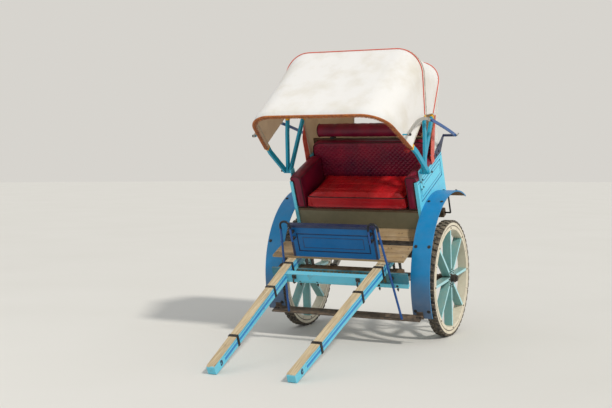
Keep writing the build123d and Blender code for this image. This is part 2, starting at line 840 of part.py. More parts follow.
def stayArms():
    """Arms on the rail that reach back and out to the lower pivots of the stays."""
    profile = Polyline(
        (railFront + 20, panelTop + 5),
        (railFront + 20, railTop - 5),
        (stayLowerY, stayLowerZ + 14),
        (stayLowerY + 14, stayLowerZ),
        (stayLowerY, stayLowerZ - 14),
        (bodyRear - 30, panelTop + 5),
        close=True,
    )
    arm = sidePlane(bodyOuter) * extrude(make_face(profile), 6)
    boss = rodAlongX(12, bodyOuter, lowerStayX - 2, stayLowerY, stayLowerZ)
    pin = rodAlongX(stayPinRadius, bodyOuter, lowerStayX + stayThickness + 8, stayLowerY, stayLowerZ)
    return bothSides(arm + boss + pin)


def cartPieces():
    """Every piece by node name in the level frame, apart from the wheels."""
    rods, clips = grabRods()
    bar, hooks = crossbar()
    upper, lower = hoodStays()
    return {
        "axle": axle(),
        "axle_nuts": axleNuts(),
        "leaf_springs": springLeaves(),
        "spring_clamps": springClamps(),
        "spring_hangers": springHangers(),
        "shafts": shafts(),
        "shaft_bands": shaftBands(),
        "crossbar": bar,
        "trace_hooks": hooks,
        "cross_bearers": bearers(),
        "floor_boards": floorBoards(),
        "front_fascia": fascia(),
        "dash_panel": dash(),
        "grab_rods": rods,
        "grab_rod_clips": clips,
        "step_bar": stepBar(),
        "mudguards": mudguards(),
        "mudguard_stays": mudguardStays(),
        "side_panels": sidePanels(),
        "rear_panel": rearPanel(),
        "body_rail": bodyRail(),
        "seat_front": seatFront(),
        "seat_deck": seatDeck(),
        "seat_cushion": seatCushion(),
        "backrest_cushion": backrestCushion(),
        "back_board": backBoard(),
        "armrests": armrests(),
        "back_roll": backRoll(),
        "roll_brackets": rollBrackets(),
        "hood_plates": hoodPlates(),
        "stay_arms": stayArms(),
        "bow_rear": [bow(0)],
        "bow_middle": [bow(1)],
        "bow_front": bowFront(),
        "stays_upper": upper,
        "stays_lower": lower,
        "hood_cloth_front": [hoodCloth(2)],
        "hood_cloth_rear": [hoodCloth(1)],
        "hood_curtain": backCurtain(),
    }


def tipForward(solid):
    """The solid as it lies when the cart is parked on its shaft tips."""
    return Pos(0, 0, axleZ) * Rot(parkAngle, 0, 0) * Pos(0, 0, -axleZ) * solid


def parkedPieces():
    """Every piece by node name as the cart is parked, centred over its footprint."""
    pieces = {name: [tipForward(solid) for solid in solids] for name, solids in cartPieces().items()}
    for side in (-1, 1):
        pieces.update(wheel(side))
    bounds = [solid.bounding_box() for solids in pieces.values() for solid in solids]
    middle = (min(b.min.Y for b in bounds) + max(b.max.Y for b in bounds)) / 2
    return {name: [Pos(0, -middle, 0) * solid for solid in solids] for name, solids in pieces.items()}, middle


pieces, rowShift = parkedPieces()
os.makedirs("parts", exist_ok=True)
for name, solids in pieces.items():
    shape = solids[0] if len(solids) == 1 else Compound(children=[Solid(s.wrapped) for s in solids])
    export_step(shape, f"parts/{name}.step")
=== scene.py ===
from math import atan2, cos, pi, radians, sin, sqrt, tan

import bmesh
import bpy
import numpy as np
from mathutils import Matrix, Vector, noise
from mathutils.kdtree import KDTree


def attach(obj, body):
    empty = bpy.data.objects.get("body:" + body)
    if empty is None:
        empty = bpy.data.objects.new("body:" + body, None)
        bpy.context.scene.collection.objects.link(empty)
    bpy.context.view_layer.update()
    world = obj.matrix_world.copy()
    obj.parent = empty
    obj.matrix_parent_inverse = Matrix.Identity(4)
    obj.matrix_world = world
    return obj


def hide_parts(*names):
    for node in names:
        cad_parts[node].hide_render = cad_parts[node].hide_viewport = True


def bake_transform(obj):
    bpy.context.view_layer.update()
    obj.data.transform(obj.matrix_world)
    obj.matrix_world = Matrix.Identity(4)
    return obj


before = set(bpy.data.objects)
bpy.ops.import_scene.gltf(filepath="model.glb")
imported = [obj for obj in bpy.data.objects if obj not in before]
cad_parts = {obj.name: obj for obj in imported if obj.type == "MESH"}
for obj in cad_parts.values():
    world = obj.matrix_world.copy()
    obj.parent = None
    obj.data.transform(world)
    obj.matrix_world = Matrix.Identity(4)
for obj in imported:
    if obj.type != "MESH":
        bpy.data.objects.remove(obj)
noise.seed_set(5)   # noise_vector would start from the clock
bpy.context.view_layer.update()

# Sizes of the cart in metres, in its level frame: front towards -Y, left towards +X.
cart = {
    "park": radians(23.441407855),   # how far the parked cart is tipped forward
    "shift": 0.963666,
    "axleZ": 0.535,
    "wheelX": 0.727,
    "hoodY": -0.06,
    "hoodZ": 1.635,
    "bodyOuter": 0.625,
    "panelTop": 1.568,
    "railTop": 1.628,
    "shaftTop": 1.088,
    "platformFront": -0.735,
    "guardCentre": (0.057, 0.571),
}


def atAxle(x):
    return Matrix.Translation((x, cart["shift"], cart["axleZ"]))


parked = atAxle(0) @ Matrix.Rotation(cart["park"], 4, "X") @ Matrix.Translation((0, 0, -cart["axleZ"]))
wheelPlace = {"left": atAxle(cart["wheelX"]), "right": atAxle(-cart["wheelX"])}


def rgb(text):
    # display colour, as six hex digits, to the linear values that a shader takes
    values = [int(text[k:k + 2], 16) / 255 for k in (0, 2, 4)]
    return tuple(v / 12.92 if v < 0.04045 else ((v + 0.055) / 1.055) ** 2.4 for v in values) + (1.0,)


# Nodes. A node that is passed on stands for its first output.
def feed(tree, node, **links):
    # fill input sockets, named as they are or by number as i0, i1
    for key, value in links.items():
        socket = node.inputs[int(key[1:]) if key[1:].isdigit() else key.replace("_", " ")]
        value = value.outputs[0] if isinstance(value, bpy.types.Node) else value
        if isinstance(value, bpy.types.NodeSocket):
            tree.links.new(value, socket)
        else:
            socket.default_value = value


def put(tree, kind, settings=None, **links):
    node = tree.nodes.new("ShaderNode" + kind)
    for key, value in (settings or {}).items():
        setattr(node, key, value)
    feed(tree, node, **links)
    return node


def calc(tree, operation, a, b=0.0):
    # a mark of exclamation holds the result between 0 and 1
    settings = {"operation": operation.rstrip("!"), "use_clamp": operation.endswith("!")}
    return put(tree, "Math", settings, i0=a, i1=b)


def plus(tree, a, b):
    return calc(tree, "ADD", a, b)


def times(tree, a, b):
    return calc(tree, "MULTIPLY", a, b)


def vectors(tree, operation, a, b):
    return put(tree, "VectorMath", {"operation": operation}, i0=a, i1=b)


def mixColor(tree, share, a, b, way="MIX"):
    return put(tree, "Mix", {"data_type": "RGBA", "blend_type": way}, i0=share, i6=a, i7=b).outputs[2]


def span(tree, value, low, high, toLow=0.0, toHigh=1.0):
    return put(tree, "MapRange", i0=value, i1=low, i2=high, i3=toLow, i4=toHigh)


def split(tree, vector, axis):
    return put(tree, "SeparateXYZ", Vector=vector).outputs[axis]


def coordinates(tree, kind="Object"):
    return put(tree, "TexCoord").outputs[kind]


def cloud(tree, scale, detail, rough=0.5, vector=None, twist=0.0):
    # noise over a vector, or over the object's own coordinates
    vector = coordinates(tree) if vector is None else vector
    return put(tree, "TexNoise", Vector=vector, Scale=scale, Detail=detail, Roughness=rough, Distortion=twist)


def group(tree, name, **links):
    return put(tree, "Group", {"node_tree": bpy.data.node_groups[name]}, **links)


def levelTurn(tree, vector, center=(0, 0, 0)):
    # turn a place or direction of the parked cart back to the level frame
    turn = {"rotation_type": "X_AXIS"}
    return put(tree, "VectorRotate", turn, Vector=vector, Center=center, Angle=-cart["park"])


def startGroup(name, **inputs):
    # a single number makes a value input, three a vector and four a colour
    tree = bpy.data.node_groups.new(name, "ShaderNodeTree")
    for label, value in inputs.items():
        kind = "Float" if isinstance(value, float) else {3: "Vector", 4: "Color"}[len(value)]
        socket = tree.interface.new_socket(name=label, in_out="INPUT", socket_type="NodeSocket" + kind)
        socket.default_value = value
    return tree, tree.nodes.new("NodeGroupInput").outputs


def endGroup(tree, **outputs):
    for label in outputs:
        kind = label if label in ("Color", "Vector") else "Float"
        tree.interface.new_socket(name=label, in_out="OUTPUT", socket_type="NodeSocket" + kind)
    feed(tree, tree.nodes.new("NodeGroupOutput"), **outputs)


# Shared effects. First, object coordinates turned back to the level frame.
tree, given = startGroup("levelCoords")
endGroup(tree, Vector=levelTurn(tree, coordinates(tree), (0, cart["shift"], cart["axleZ"])))

# worn corners: where a rounded normal leaves the true one, broken up by noise
tree, given = startGroup("edgeWear", Radius=0.006, Amount=0.5, Scale=40.0)
rounded = put(tree, "Bevel", {"samples": 4}, Radius=given["Radius"])
flat = put(tree, "NewGeometry").outputs["Normal"]
edge = span(tree, vectors(tree, "DOT_PRODUCT", rounded, flat).outputs["Value"], 0.985, 0.82)
broken = span(tree, cloud(tree, given["Scale"], 5.0, 0.7), 0.42, 0.6)
endGroup(tree, Mask=calc(tree, "MULTIPLY!", times(tree, edge, broken), given["Amount"]))

# brushed paint: patchy colour, chipped down to the wood or iron under it
tree, given = startGroup(
    "wornPaint", Paint=(0.1, 0.5, 0.6, 1), Under=(0.3, 0.2, 0.1, 1), Chips=0.3, Scale=9.0, Patchy=0.35
)
coords = group(tree, "levelCoords")
wide = cloud(tree, given["Scale"], 6.0, 0.6, coords)
fine = cloud(tree, 4.0, 8.0, 0.72, put(tree, "Mapping", Vector=coords, Scale=(60, 6, 60)))
both = plus(tree, times(tree, wide, 0.55), times(tree, fine, 0.45))
limit = calc(tree, "SUBTRACT", 0.74, times(tree, given["Chips"], 0.24))
chipped = span(tree, both, limit, plus(tree, limit, 0.02))
rubbed = group(tree, "edgeWear", Radius=0.007, Amount=0.9)
rubbed = times(tree, rubbed, calc(tree, "MULTIPLY!", given["Chips"], 2.2))
bare = calc(tree, "ADD!", chipped, rubbed)
shade = span(tree, wide, 0.25, 0.75, 0.78, 1.12)
shade = put(tree, "CombineColor", i0=shade, i1=shade, i2=shade)
dark = mixColor(tree, 1.0, given["Paint"], shade, "MULTIPLY")
paint = mixColor(tree, given["Patchy"], given["Paint"], dark)
under = mixColor(tree, fine, given["Under"], (0.06, 0.045, 0.03, 1))
endGroup(
    tree,
    Color=mixColor(tree, bare, paint, under),
    Roughness=calc(tree, "ADD!", span(tree, fine, 0.3, 0.7, 0.32, 0.48), times(tree, bare, 0.35)),
    Height=plus(tree, times(tree, fine, 0.35), calc(tree, "SUBTRACT", 1.0, bare)),
)

# pale sand dust that settles in patches and more thickly on what faces up
tree, given = startGroup("sandDust", Color=(0.5, 0.5, 0.5, 1), Amount=0.3, Scale=14.0)
lies = span(tree, split(tree, put(tree, "NewGeometry").outputs["Normal"], 2), -0.2, 1.0, 0.35, 1.0)
patch = span(tree, cloud(tree, given["Scale"], 7.0, 0.65), 0.35, 0.72)
mask = calc(tree, "MULTIPLY!", times(tree, patch, lies), given["Amount"])
endGroup(tree, Color=mixColor(tree, mask, given["Color"], rgb("b9a68a")), Mask=mask)

# planed wood with fibres along one direction of the level frame
tree, given = startGroup(
    "woodFibre", Light=(0.5, 0.4, 0.3, 1), Dark=(0.2, 0.1, 0.05, 1), Stretch=(40.0, 2.0, 40.0)
)
along = vectors(tree, "MULTIPLY", group(tree, "levelCoords"), given["Stretch"])
fibre = cloud(tree, 2.2, 9.0, 0.68, along, 0.4)
both = plus(tree, times(tree, fibre, 0.7), times(tree, cloud(tree, 0.35, 3.0, 0.5, along), 0.3))
share = span(tree, both, 0.35, 0.65)
endGroup(tree, Color=mixColor(tree, share, given["Dark"], given["Light"]), Height=fibre)

# plain canvas weave from UV coordinates in metres
tree, given = startGroup("plainWeave", Threads=900.0)
uv = put(tree, "UVMap")
across, along = (calc(tree, "SINE", times(tree, split(tree, uv, axis), given["Threads"])) for axis in (0, 1))
slub = cloud(tree, 6.0, 5.0, 0.6, put(tree, "Mapping", Vector=uv, Scale=(3, 40, 1)))
endGroup(tree, Height=plus(tree, times(tree, times(tree, across, along), 0.4), slub))
print("shared effects built")


# Materials. Pieces name the finish that they take.
def startMaterial(name):
    material = bpy.data.materials.new(name)
    material.use_nodes = True
    tree = material.node_tree
    tree.nodes.clear()
    shader = tree.nodes.new("ShaderNodeBsdfPrincipled")
    put(tree, "OutputMaterial", {"name": "end"}, i0=shader)
    return tree, shader


def surface(tree, shader, height, depth, strength=1.0, **inputs):
    relief = put(tree, "Bump", Height=height, Distance=depth, Strength=strength)
    feed(tree, shader, Normal=relief, **inputs)


def worn(tree, color, under, chips, scale, patchy):
    return group(tree, "wornPaint", Paint=color, Under=rgb(under), Chips=chips, Scale=scale, Patchy=patchy)


def paintMaterial(name, color, under="8a6a48", chips=0.3, patchy=0.5, dust=0.25):
    tree, shader = startMaterial(name)
    paint = worn(tree, rgb(color), under, chips, 9.0, patchy)
    dusty = group(tree, "sandDust", Color=paint, Amount=dust)
    rough = calc(tree, "ADD!", paint.outputs["Roughness"], times(tree, dusty.outputs["Mask"], 0.4))
    surface(tree, shader, paint.outputs["Height"], 0.0006, Base_Color=dusty, Roughness=rough)


def zonedPaint(name, makeZone, color, second, under, chips, scale, patchy, dust=0.0, depth=0.0006,
               rough=0.0, metallic=0.0, shine=0.5, over=False):
    # worn paint with a second colour in one zone, or with another stuff over it there
    tree, shader = startMaterial(name)
    zone = makeZone(tree)
    second = second(tree) if callable(second) else rgb(second)
    color = rgb(color) if over else mixColor(tree, zone, rgb(color), second)
    paint = worn(tree, color, under, chips, scale, patchy)
    color = mixColor(tree, zone, paint, second) if over else paint
    surface(
        tree, shader, paint.outputs["Height"], depth,
        Base_Color=group(tree, "sandDust", Color=color, Amount=dust),
        Roughness=calc(tree, "ADD!", paint.outputs["Roughness"], times(tree, zone, rough)),
        Metallic=times(tree, zone, metallic),
        Specular_IOR_Level=shine,
    )


def pastLevel(axis, low, high):
    # the zone beyond a distance along one axis of the level frame
    def zone(tree):
        distance = calc(tree, "ABSOLUTE", split(tree, group(tree, "levelCoords"), axis))
        return span(tree, distance, low, high)
    return zone


# faces that look along the axle; on the spokes these narrow faces take a paler blue as painted light, and the
# broad sides a dull grey-teal as painted shade
def axleFacesPaintedLit(tree):
    return span(tree, calc(tree, "ABSOLUTE", split(tree, coordinates(tree, "Normal"), 0)), 0.6, 0.75)


def hollowSide(tree):
    # the side of a mudguard that faces the wheel
    ray = vectors(tree, "SUBTRACT", group(tree, "levelCoords"), (0.0, *cart["guardCentre"]))
    flat = vectors(tree, "MULTIPLY", ray, (0.0, 1.0, 1.0))
    facing = vectors(tree, "DOT_PRODUCT", flat, levelTurn(tree, coordinates(tree, "Normal")))
    return span(tree, facing.outputs["Value"], -0.10, -0.30)


def roadDirt(tree):
    patch = cloud(tree, 12.0, 8.0, 0.7, group(tree, "levelCoords"))
    return mixColor(tree, patch, rgb("38240f"), rgb("8a6840"))


def darkPins(tree):
    return mixColor(tree, cloud(tree, 60.0, 6.0), rgb("1d1e22"), rgb("4a3a30"))


def woodMaterial(name, light, dark, stretch, dust):
    tree, shader = startMaterial(name)
    wood = group(tree, "woodFibre", Light=rgb(light), Dark=rgb(dark), Stretch=stretch)
    dusty = group(tree, "sandDust", Color=wood, Amount=dust)
    surface(tree, shader, wood.outputs["Height"], 0.0012, Base_Color=dusty, Roughness=0.75)


def shaftMaterial(name):
    # light-blue painted timber whose top is worn to pale wood
    tree, shader = startMaterial(name)
    paint = worn(tree, rgb("5fc4dd"), "c9b48c", 0.55, 7.0, 0.4)
    wood = group(tree, "woodFibre", Light=rgb("d8c7a2"), Dark=rgb("8e7450"), Stretch=(38, 1.6, 38))
    level = group(tree, "levelCoords")
    patch = cloud(tree, 1.5, 7.0, 0.7, put(tree, "Mapping", Vector=level, Scale=(20, 3, 20)))
    top = span(tree, plus(tree, split(tree, level, 2), times(tree, patch, 0.03)), 1.092, 1.099)
    height = plus(tree, times(tree, wood.outputs["Height"], top), paint.outputs["Height"])
    surface(
        tree, shader, height, 0.0012,
        Base_Color=group(tree, "sandDust", Color=mixColor(tree, top, paint, wood), Amount=0.3),
        Roughness=calc(tree, "ADD!", paint.outputs["Roughness"], times(tree, top, 0.3)),
    )


def metalMaterial(name, color, rusty=0.45, metallic=0.55, rough=0.5, dust=0.2):
    # iron or steel with rust in patches; the rust isn't metallic
    tree, shader = startMaterial(name)
    pits = cloud(tree, 176.0, 4.0)
    limit = 0.75 - rusty * 0.35
    rust = span(tree, cloud(tree, 22.0, 8.0, 0.7), limit, limit + 0.12)
    color = mixColor(tree, rust, rgb(color), mixColor(tree, pits, rgb("5a3420"), rgb("2e1c12")))
    dusty = group(tree, "sandDust", Color=color, Amount=dust, Scale=22.0)
    covered = calc(tree, "MAXIMUM", rust, dusty.outputs["Mask"])
    surface(
        tree, shader, plus(tree, times(tree, rust, 0.5), times(tree, pits, 0.5)), 0.0008,
        Base_Color=dusty,
        Metallic=span(tree, covered, 0.0, 1.0, metallic, 0.0),
        Roughness=span(tree, covered, 0.0, 1.0, rough, 0.88),
    )


def vinylMaterial(name, color, deep, rough=0.34, grain=900.0):
    # padded vinyl: fine leather grain, cloudy colour and a soft gloss
    tree, shader = startMaterial(name)
    patch = cloud(tree, 5.0, 4.0)
    base = mixColor(tree, span(tree, patch, 0.3, 0.7), rgb(deep), rgb(color))
    cells = put(tree, "TexVoronoi", {"feature": "DISTANCE_TO_EDGE"}, Vector=coordinates(tree), Scale=grain)
    surface(
        tree, shader, span(tree, cells, 0.0, 0.12), 0.0004, 0.6,
        Base_Color=group(tree, "sandDust", Color=base, Amount=0.06, Scale=9.0),
        Roughness=span(tree, patch, 0.3, 0.7, rough, rough + 0.14),
        Specular_IOR_Level=0.32, Coat_Weight=0.08, Coat_Roughness=0.25,
    )


def canvasMaterial(name, outside, stain, inside, insideDeep):
    # sun-bleached canvas outside; the inside is painted brown-grey as shade; a little light comes through
    tree, shader = startMaterial(name)
    patch = cloud(tree, 3.5, 6.0, 0.62)
    outer = mixColor(tree, span(tree, patch, 0.45, 0.8), rgb(outside), rgb(stain))
    inner = mixColor(tree, span(tree, patch, 0.3, 0.7), rgb(inside), rgb(insideDeep))
    color = mixColor(tree, put(tree, "NewGeometry").outputs["Backfacing"], outer, inner)
    weave = group(tree, "plainWeave", Threads=1400.0)
    surface(tree, shader, weave, 0.0009, 0.7, Base_Color=color, Roughness=0.82)
    through = put(tree, "BsdfTranslucent", Color=rgb("e8c9a0"))
    feed(tree, tree.nodes["end"], i0=put(tree, "MixShader", i0=0.16, i1=shader, i2=through))


def rubberMaterial(name):
    # black rubber with pale dust on the tops of the lugs and sand in the gaps
    tree, shader = startMaterial(name)
    patch = cloud(tree, 30.0, 8.0, 0.72)
    edge = group(tree, "edgeWear", Radius=0.005, Amount=0.85, Scale=70.0)
    color = mixColor(tree, edge, mixColor(tree, patch, rgb("17171a"), rgb("3a3836")), rgb("a39a8c"))
    dusty = group(tree, "sandDust", Color=color, Amount=0.75, Scale=26.0)
    surface(tree, shader, patch, 0.0015, Base_Color=dusty, Roughness=0.85)


def clothMaterial(name, color, deep, scale=60.0):
    tree, shader = startMaterial(name)
    base = mixColor(tree, span(tree, cloud(tree, scale, 6.0, 0.7), 0.35, 0.65), rgb(deep), rgb(color))
    dusty = group(tree, "sandDust", Color=base, Amount=0.12, Scale=12.0)
    fibres = cloud(tree, scale * 14, 3.0)
    surface(tree, shader, fibres, 0.0006, Base_Color=dusty, Roughness=0.9, Sheen_Weight=0.2)


paintMaterial("panelBluePaint", "66d8f2", chips=0.12, patchy=0.3)
paintMaterial("creamPaint", "e6dcc4", chips=0.2, dust=0.45, under="6e5a44")
paintMaterial("navyPaint", "14284e", chips=0.15, dust=0.15)
paintMaterial("stripeBluePaint", "0f7fc4", dust=0.15)
paintMaterial("lineBluePaint", "1c5f96", chips=0.2, dust=0.1)
paintMaterial("stayBluePaint", "1d5596", under="3a2c22", chips=0.22, dust=0.1)
paintMaterial("yellowPaint", "e9b11c", chips=0.15, dust=0.1)
paintMaterial("greySeatBoard", "76725a", chips=0.35)
# spokes: pale blue on the narrow faces along the axle as painted light, dull grey-teal on the broad sides as
# painted shade; worn and dusty over both
zonedPaint("spokePaint", axleFacesPaintedLit, "6fa7a6", "a9e0e6", "8a765a", 0.32, 11.0, 0.6, dust=0.4, depth=0.0008)
zonedPaint(   # navy on the cap rail
    "dashBoardPaint", pastLevel(2, 1.3975, 1.3985), "03629e", "0c2146", "7d6a50", 0.14, 7.0, 0.45,
    dust=0.05, shine=0.35,
)
zonedPaint(   # light blue on the rail below
    "fasciaPaint", pastLevel(2, 0.893, 0.890), "1f7486", "66c6da", "75603f", 0.45, 10.0, 0.6,
    dust=0.3, depth=0.0010,
)
zonedPaint(   # bare dark iron on the crooks above the dash
    "grabRodPaint", pastLevel(2, 1.395, 1.410), "174c8c", "2b2d33", "3a2c22", 0.25, 16.0, 0.4,
    depth=0.0005, metallic=0.6, over=True,
)
zonedPaint(
    "mudguardSheet", hollowSide, "037eb6", roadDirt, "6a4630", 0.12, 8.0, 0.5,
    dust=0.07, rough=0.45, shine=0.35, over=True,
)
zonedPaint(   # dark iron on the pins, out past the timber
    "bowPaint", pastLevel(0, 0.7121, 0.7124), "129ebf", darkPins, "8a6a48", 0.2, 9.0, 0.5,
    dust=0.1, metallic=0.5, shine=0.35, over=True,
)
shaftMaterial("shaftPaint")
woodMaterial("floorBoard", "b59a70", "6b5234", (2, 38, 38), 0.5)
woodMaterial("darkTimber", "6c5236", "2f2115", (2, 38, 38), 0.35)
woodMaterial("oliveSlat", "5d5a3c", "33301f", (38, 38, 2), 0.3)
metalMaterial("darkIron", "3c3836", rusty=0.55)
metalMaterial("blackIron", "26282b", rusty=0.35, rough=0.45)
metalMaterial("stepIron", "5b5048", rusty=0.75, dust=0.4)
metalMaterial("springSteel", "a7a59e", rusty=0.55, dust=0.35, metallic=0.2, rough=0.55)
metalMaterial("axleSteel", "4a4642", rusty=0.6)
metalMaterial("brightSteel", "b8b8b4", rusty=0.15, metallic=0.9, rough=0.32, dust=0.1)
rubberMaterial("dustyRubber")
# burgundy, tinted towards purple as a painted reflection of the sky
vinylMaterial("burgundyVinyl", "8c0530", "58042c")
vinylMaterial("redVinyl", "be0618", "960616", rough=0.3)
# dark piping; also the painted shade in the grooves of the rims
vinylMaterial("darkPiping", "3a0d18", "22080f", grain=1400.0)
# cloth of the bow sleeves, tan on both sides as painted shade
canvasMaterial("hoodLining", "d9c5aa", "bfa88c", "d9c5aa", "bfa88c")
# white canvas outside, brown-grey inside as painted shade
canvasMaterial("hoodCanvas", "f5f4f0", "e2ddcf", "d8c4ac", "b9a38c")
clothMaterial("orangeFringe", "c4701f", "7a3410")
clothMaterial("coralBinding", "e2604a", "c8432f", scale=30.0)
clothMaterial("redTassel", "c31222", "7d0a16", scale=120.0)
clothMaterial("canvasHem", "d9d5c8", "a79f8f", scale=25.0)
clothMaterial("darkTie", "3a2d24", "1d1612")
print("materials ready:", len(bpy.data.materials))


# Shapes. Points are in the level frame unless a note says otherwise.
def addObject(name, data):
    made = bpy.data.objects.new(name, data)
    bpy.context.scene.collection.objects.link(made)
    return made


def meshPiece(name, points, faces):
    mesh = bpy.data.meshes.new(name)
    mesh.from_pydata([tuple(p) for p in points], [], faces)
    mesh.update()
    return addObject(name, mesh)


def workPiece(name, work):
    mesh = bpy.data.meshes.new(name)
    work.to_mesh(mesh)
    work.free()
    return addObject(name, mesh)


def finishMesh(piece, finish, body="carriage", smooth=40, place=parked):
    # put a piece into the parked frame, give it its finish and let it ride
    piece.data.transform(place)
    piece.data.materials.append(bpy.data.materials[finish])
    if smooth:
        piece.data.shade_smooth()
        piece.data.set_sharp_from_angle(angle=radians(smooth))
    if body:
        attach(piece, body)
    return piece


def mirrored(work):
    # add the mirror image of everything across the middle of the cart
    copy = bmesh.ops.duplicate(work, geom=work.verts[:] + work.edges[:] + work.faces[:])["geom"]
    for part in copy:
        if isinstance(part, bmesh.types.BMVert):
            part.co.x = -part.co.x
    bmesh.ops.reverse_faces(work, faces=[part for part in copy if isinstance(part, bmesh.types.BMFace)])


def outwardNormals(work):
    bmesh.ops.recalc_face_normals(work, faces=work.faces[:])


def closeWork(name, work, finish, body="carriage", smooth=40, place=parked, twins=False, outward=False):
    # a finished piece from all that was drawn
    if twins:
        mirrored(work)
    if outward:
        outwardNormals(work)
    return finishMesh(workPiece(name, work), finish, body, smooth, place)


def newVerts(work, points):
    return [work.verts.new(p) for p in points]


def circle(centre, across, up, radius, count):
    turns = [2 * pi * k / count for k in range(count)]
    return [centre + across * (radius * cos(a)) + up * (radius * sin(a)) for a in turns]


def addRings(work, rings, closed=True, caps=False):
    # quads between rows of vertices, and a face on both ends
    count = len(rings[0])
    for lower, upper in zip(rings, rings[1:]):
        for j in range(count if closed else count - 1):
            n = (j + 1) % count
            work.faces.new((lower[j], lower[n], upper[n], upper[j]))
    if caps:
        work.faces.new(rings[0][::-1])
        work.faces.new(rings[-1])


def gridFaces(rows, width, flip=False):
    # quads of a grid of points, row by row
    faces = []
    for a in [r * width + c for r in range(rows - 1) for c in range(width - 1)]:
        faces.append((a, a + width, a + width + 1, a + 1) if flip else (a, a + 1, a + width + 1, a + width))
    return faces


def addBox(work, low, high, bevel=0.0):
    # a box between two corners, with rounded edges if asked
    low, high = Vector(low), Vector(high)
    size, middle = high - low, (high + low) / 2
    made = bmesh.ops.create_cube(work, size=1.0)["verts"]
    for vert in made:
        vert.co = Vector(vert.co[k] * size[k] + middle[k] for k in range(3))
    if bevel:
        edges = list({edge for vert in made for edge in vert.link_edges})
        bmesh.ops.bevel(work, geom=edges, offset=bevel, segments=2, affect="EDGES", profile=0.5)


def addRod(work, start, end, radius, sides=12, capBevel=0.0, endRadius=None):
    # a round rod between two points, with chamfered ends
    start, end = Vector(start), Vector(end)
    length = (end - start).length
    axis = (end - start).normalized()
    across = axis.orthogonal().normalized()
    endRadius = endRadius or radius
    profile = [(0.0, radius), (length, endRadius)]
    if capBevel:
        profile = [(0.0, radius - capBevel), (capBevel, radius)]
        profile += [(length - capBevel, endRadius), (length, endRadius - capBevel)]
    up = axis.cross(across)
    rings = [newVerts(work, circle(start + axis * at, across, up, r, sides)) for at, r in profile]
    addRings(work, rings, caps=True)


def addBolt(work, place, outward, radius=0.009, height=0.006, sides=6, washer=1.6):
    # a washer and a hexagon or round head standing on a surface
    place, outward = Vector(place), Vector(outward).normalized()
    if washer:
        addRod(work, place, place + outward * 0.002, radius * washer, 14)
    addRod(work, place, place + outward * (height + 0.002), radius, sides, capBevel=min(0.0015, height * 0.3))


def addKnob(work, place, size, around, rows):
    shape = Matrix.Translation(place) @ Matrix.Diagonal((*size, 1))
    bmesh.ops.create_uvsphere(work, u_segments=around, v_segments=rows, radius=1.0, matrix=shape)


def addTube(work, path, radius, sides=7, closed=False):
    # a tube swept along a path
    path = [Vector(p) for p in path]
    rings, side = [], None
    for k, point in enumerate(path):
        before = path[k - 1] if closed or k else point
        after = path[(k + 1) % len(path)] if closed or k < len(path) - 1 else point
        tangent = (after - before).normalized()
        side = side or tangent.orthogonal().normalized()
        side = (side - tangent * side.dot(tangent)).normalized()
        rings.append(newVerts(work, circle(point, side, tangent.cross(side), radius, sides)))
    if closed:
        turn = min(range(sides), key=lambda j: (rings[0][j].co - rings[-1][0].co).length)
        rings.append(rings[0][turn:] + rings[0][:turn])
    addRings(work, rings, caps=not closed)


def spaced(line, step):
    # points at even steps along a line of points
    line = [Vector(p) for p in line]
    lengths = [0.0]
    for a, b in zip(line, line[1:]):
        lengths.append(lengths[-1] + (b - a).length)
    count = max(2, int(lengths[-1] / step))
    made, k = [], 0
    for n in range(count + 1):
        want = lengths[-1] * n / count
        while k < len(lengths) - 2 and lengths[k + 1] < want:
            k += 1
        share = (want - lengths[k]) / max(lengths[k + 1] - lengths[k], 1e-9)
        made.append(line[k].lerp(line[k + 1], share))
    return made


# Hood: three bows, the cloth over them and its trim
hood = {
    "plateOuter": 0.631,
    "bowGap": 0.005,
    "bowThickness": 0.022,
    "bowDepth": 0.045,
    "knee": 0.350,
    "corner": 0.235,
    "standOff": 0.0028,       # from a bow's outer face to the middle of the cloth
    "seam": 0.0003,           # left between panels that meet, and above the rail
    "rail": (0.617, 0.617, 0.390, 0.613, 0.040),   # half width in front and behind, foot, depth, corner
    "legSteps": 16,
    "cornerSteps": 14,
    "topSteps": 20,           # from a corner to the middle
    "acrossSteps": 22,
    "sag": 0.014,
    "crease": 0.0035,
    "window": (0.240, 1.795, 2.300, 0.045),        # half width, sill, head, corner
}
bowTable = (  # name, lean raised, reach, foot of the cloth, half width between shoulders
    ("rear", 51.0, 1.120, 0.575, 0.640),
    ("middle", 21.0, 1.075, 0.500, 0.640),
    ("front", -37.0, 0.995, 0.450, 0.605),
)
panelTable = {  # by bow: piece, node, its two bodies, flat size, what carries it
    2: (
        "hoodClothFront", "hood_cloth_front", ("hood_middle_bow", "hood_front_bow"),
        (2.29, 1.02), ["bow_front", "bow_middle"],
    ),
    1: (
        "hoodClothRear", "hood_cloth_rear", ("hood_rear_bow", "hood_middle_bow"),
        (2.29, 0.58), ["bow_middle", "bow_rear"],
    ),
    0: (
        "hoodCurtain", "hood_curtain", ("carriage", "hood_rear_bow"),
        (2.21, 0.80), ["bow_rear", "body_rail"],
    ),
}
rearLean, middleLean, frontLean = (row[1] for row in bowTable)
halfBow = hood["bowDepth"] / 2
forward = Vector((0, -1, 0))


def bowCentre(index):
    pitch = hood["bowThickness"] + hood["bowGap"]
    return hood["plateOuter"] + hood["bowGap"] + hood["bowThickness"] / 2 + index * pitch


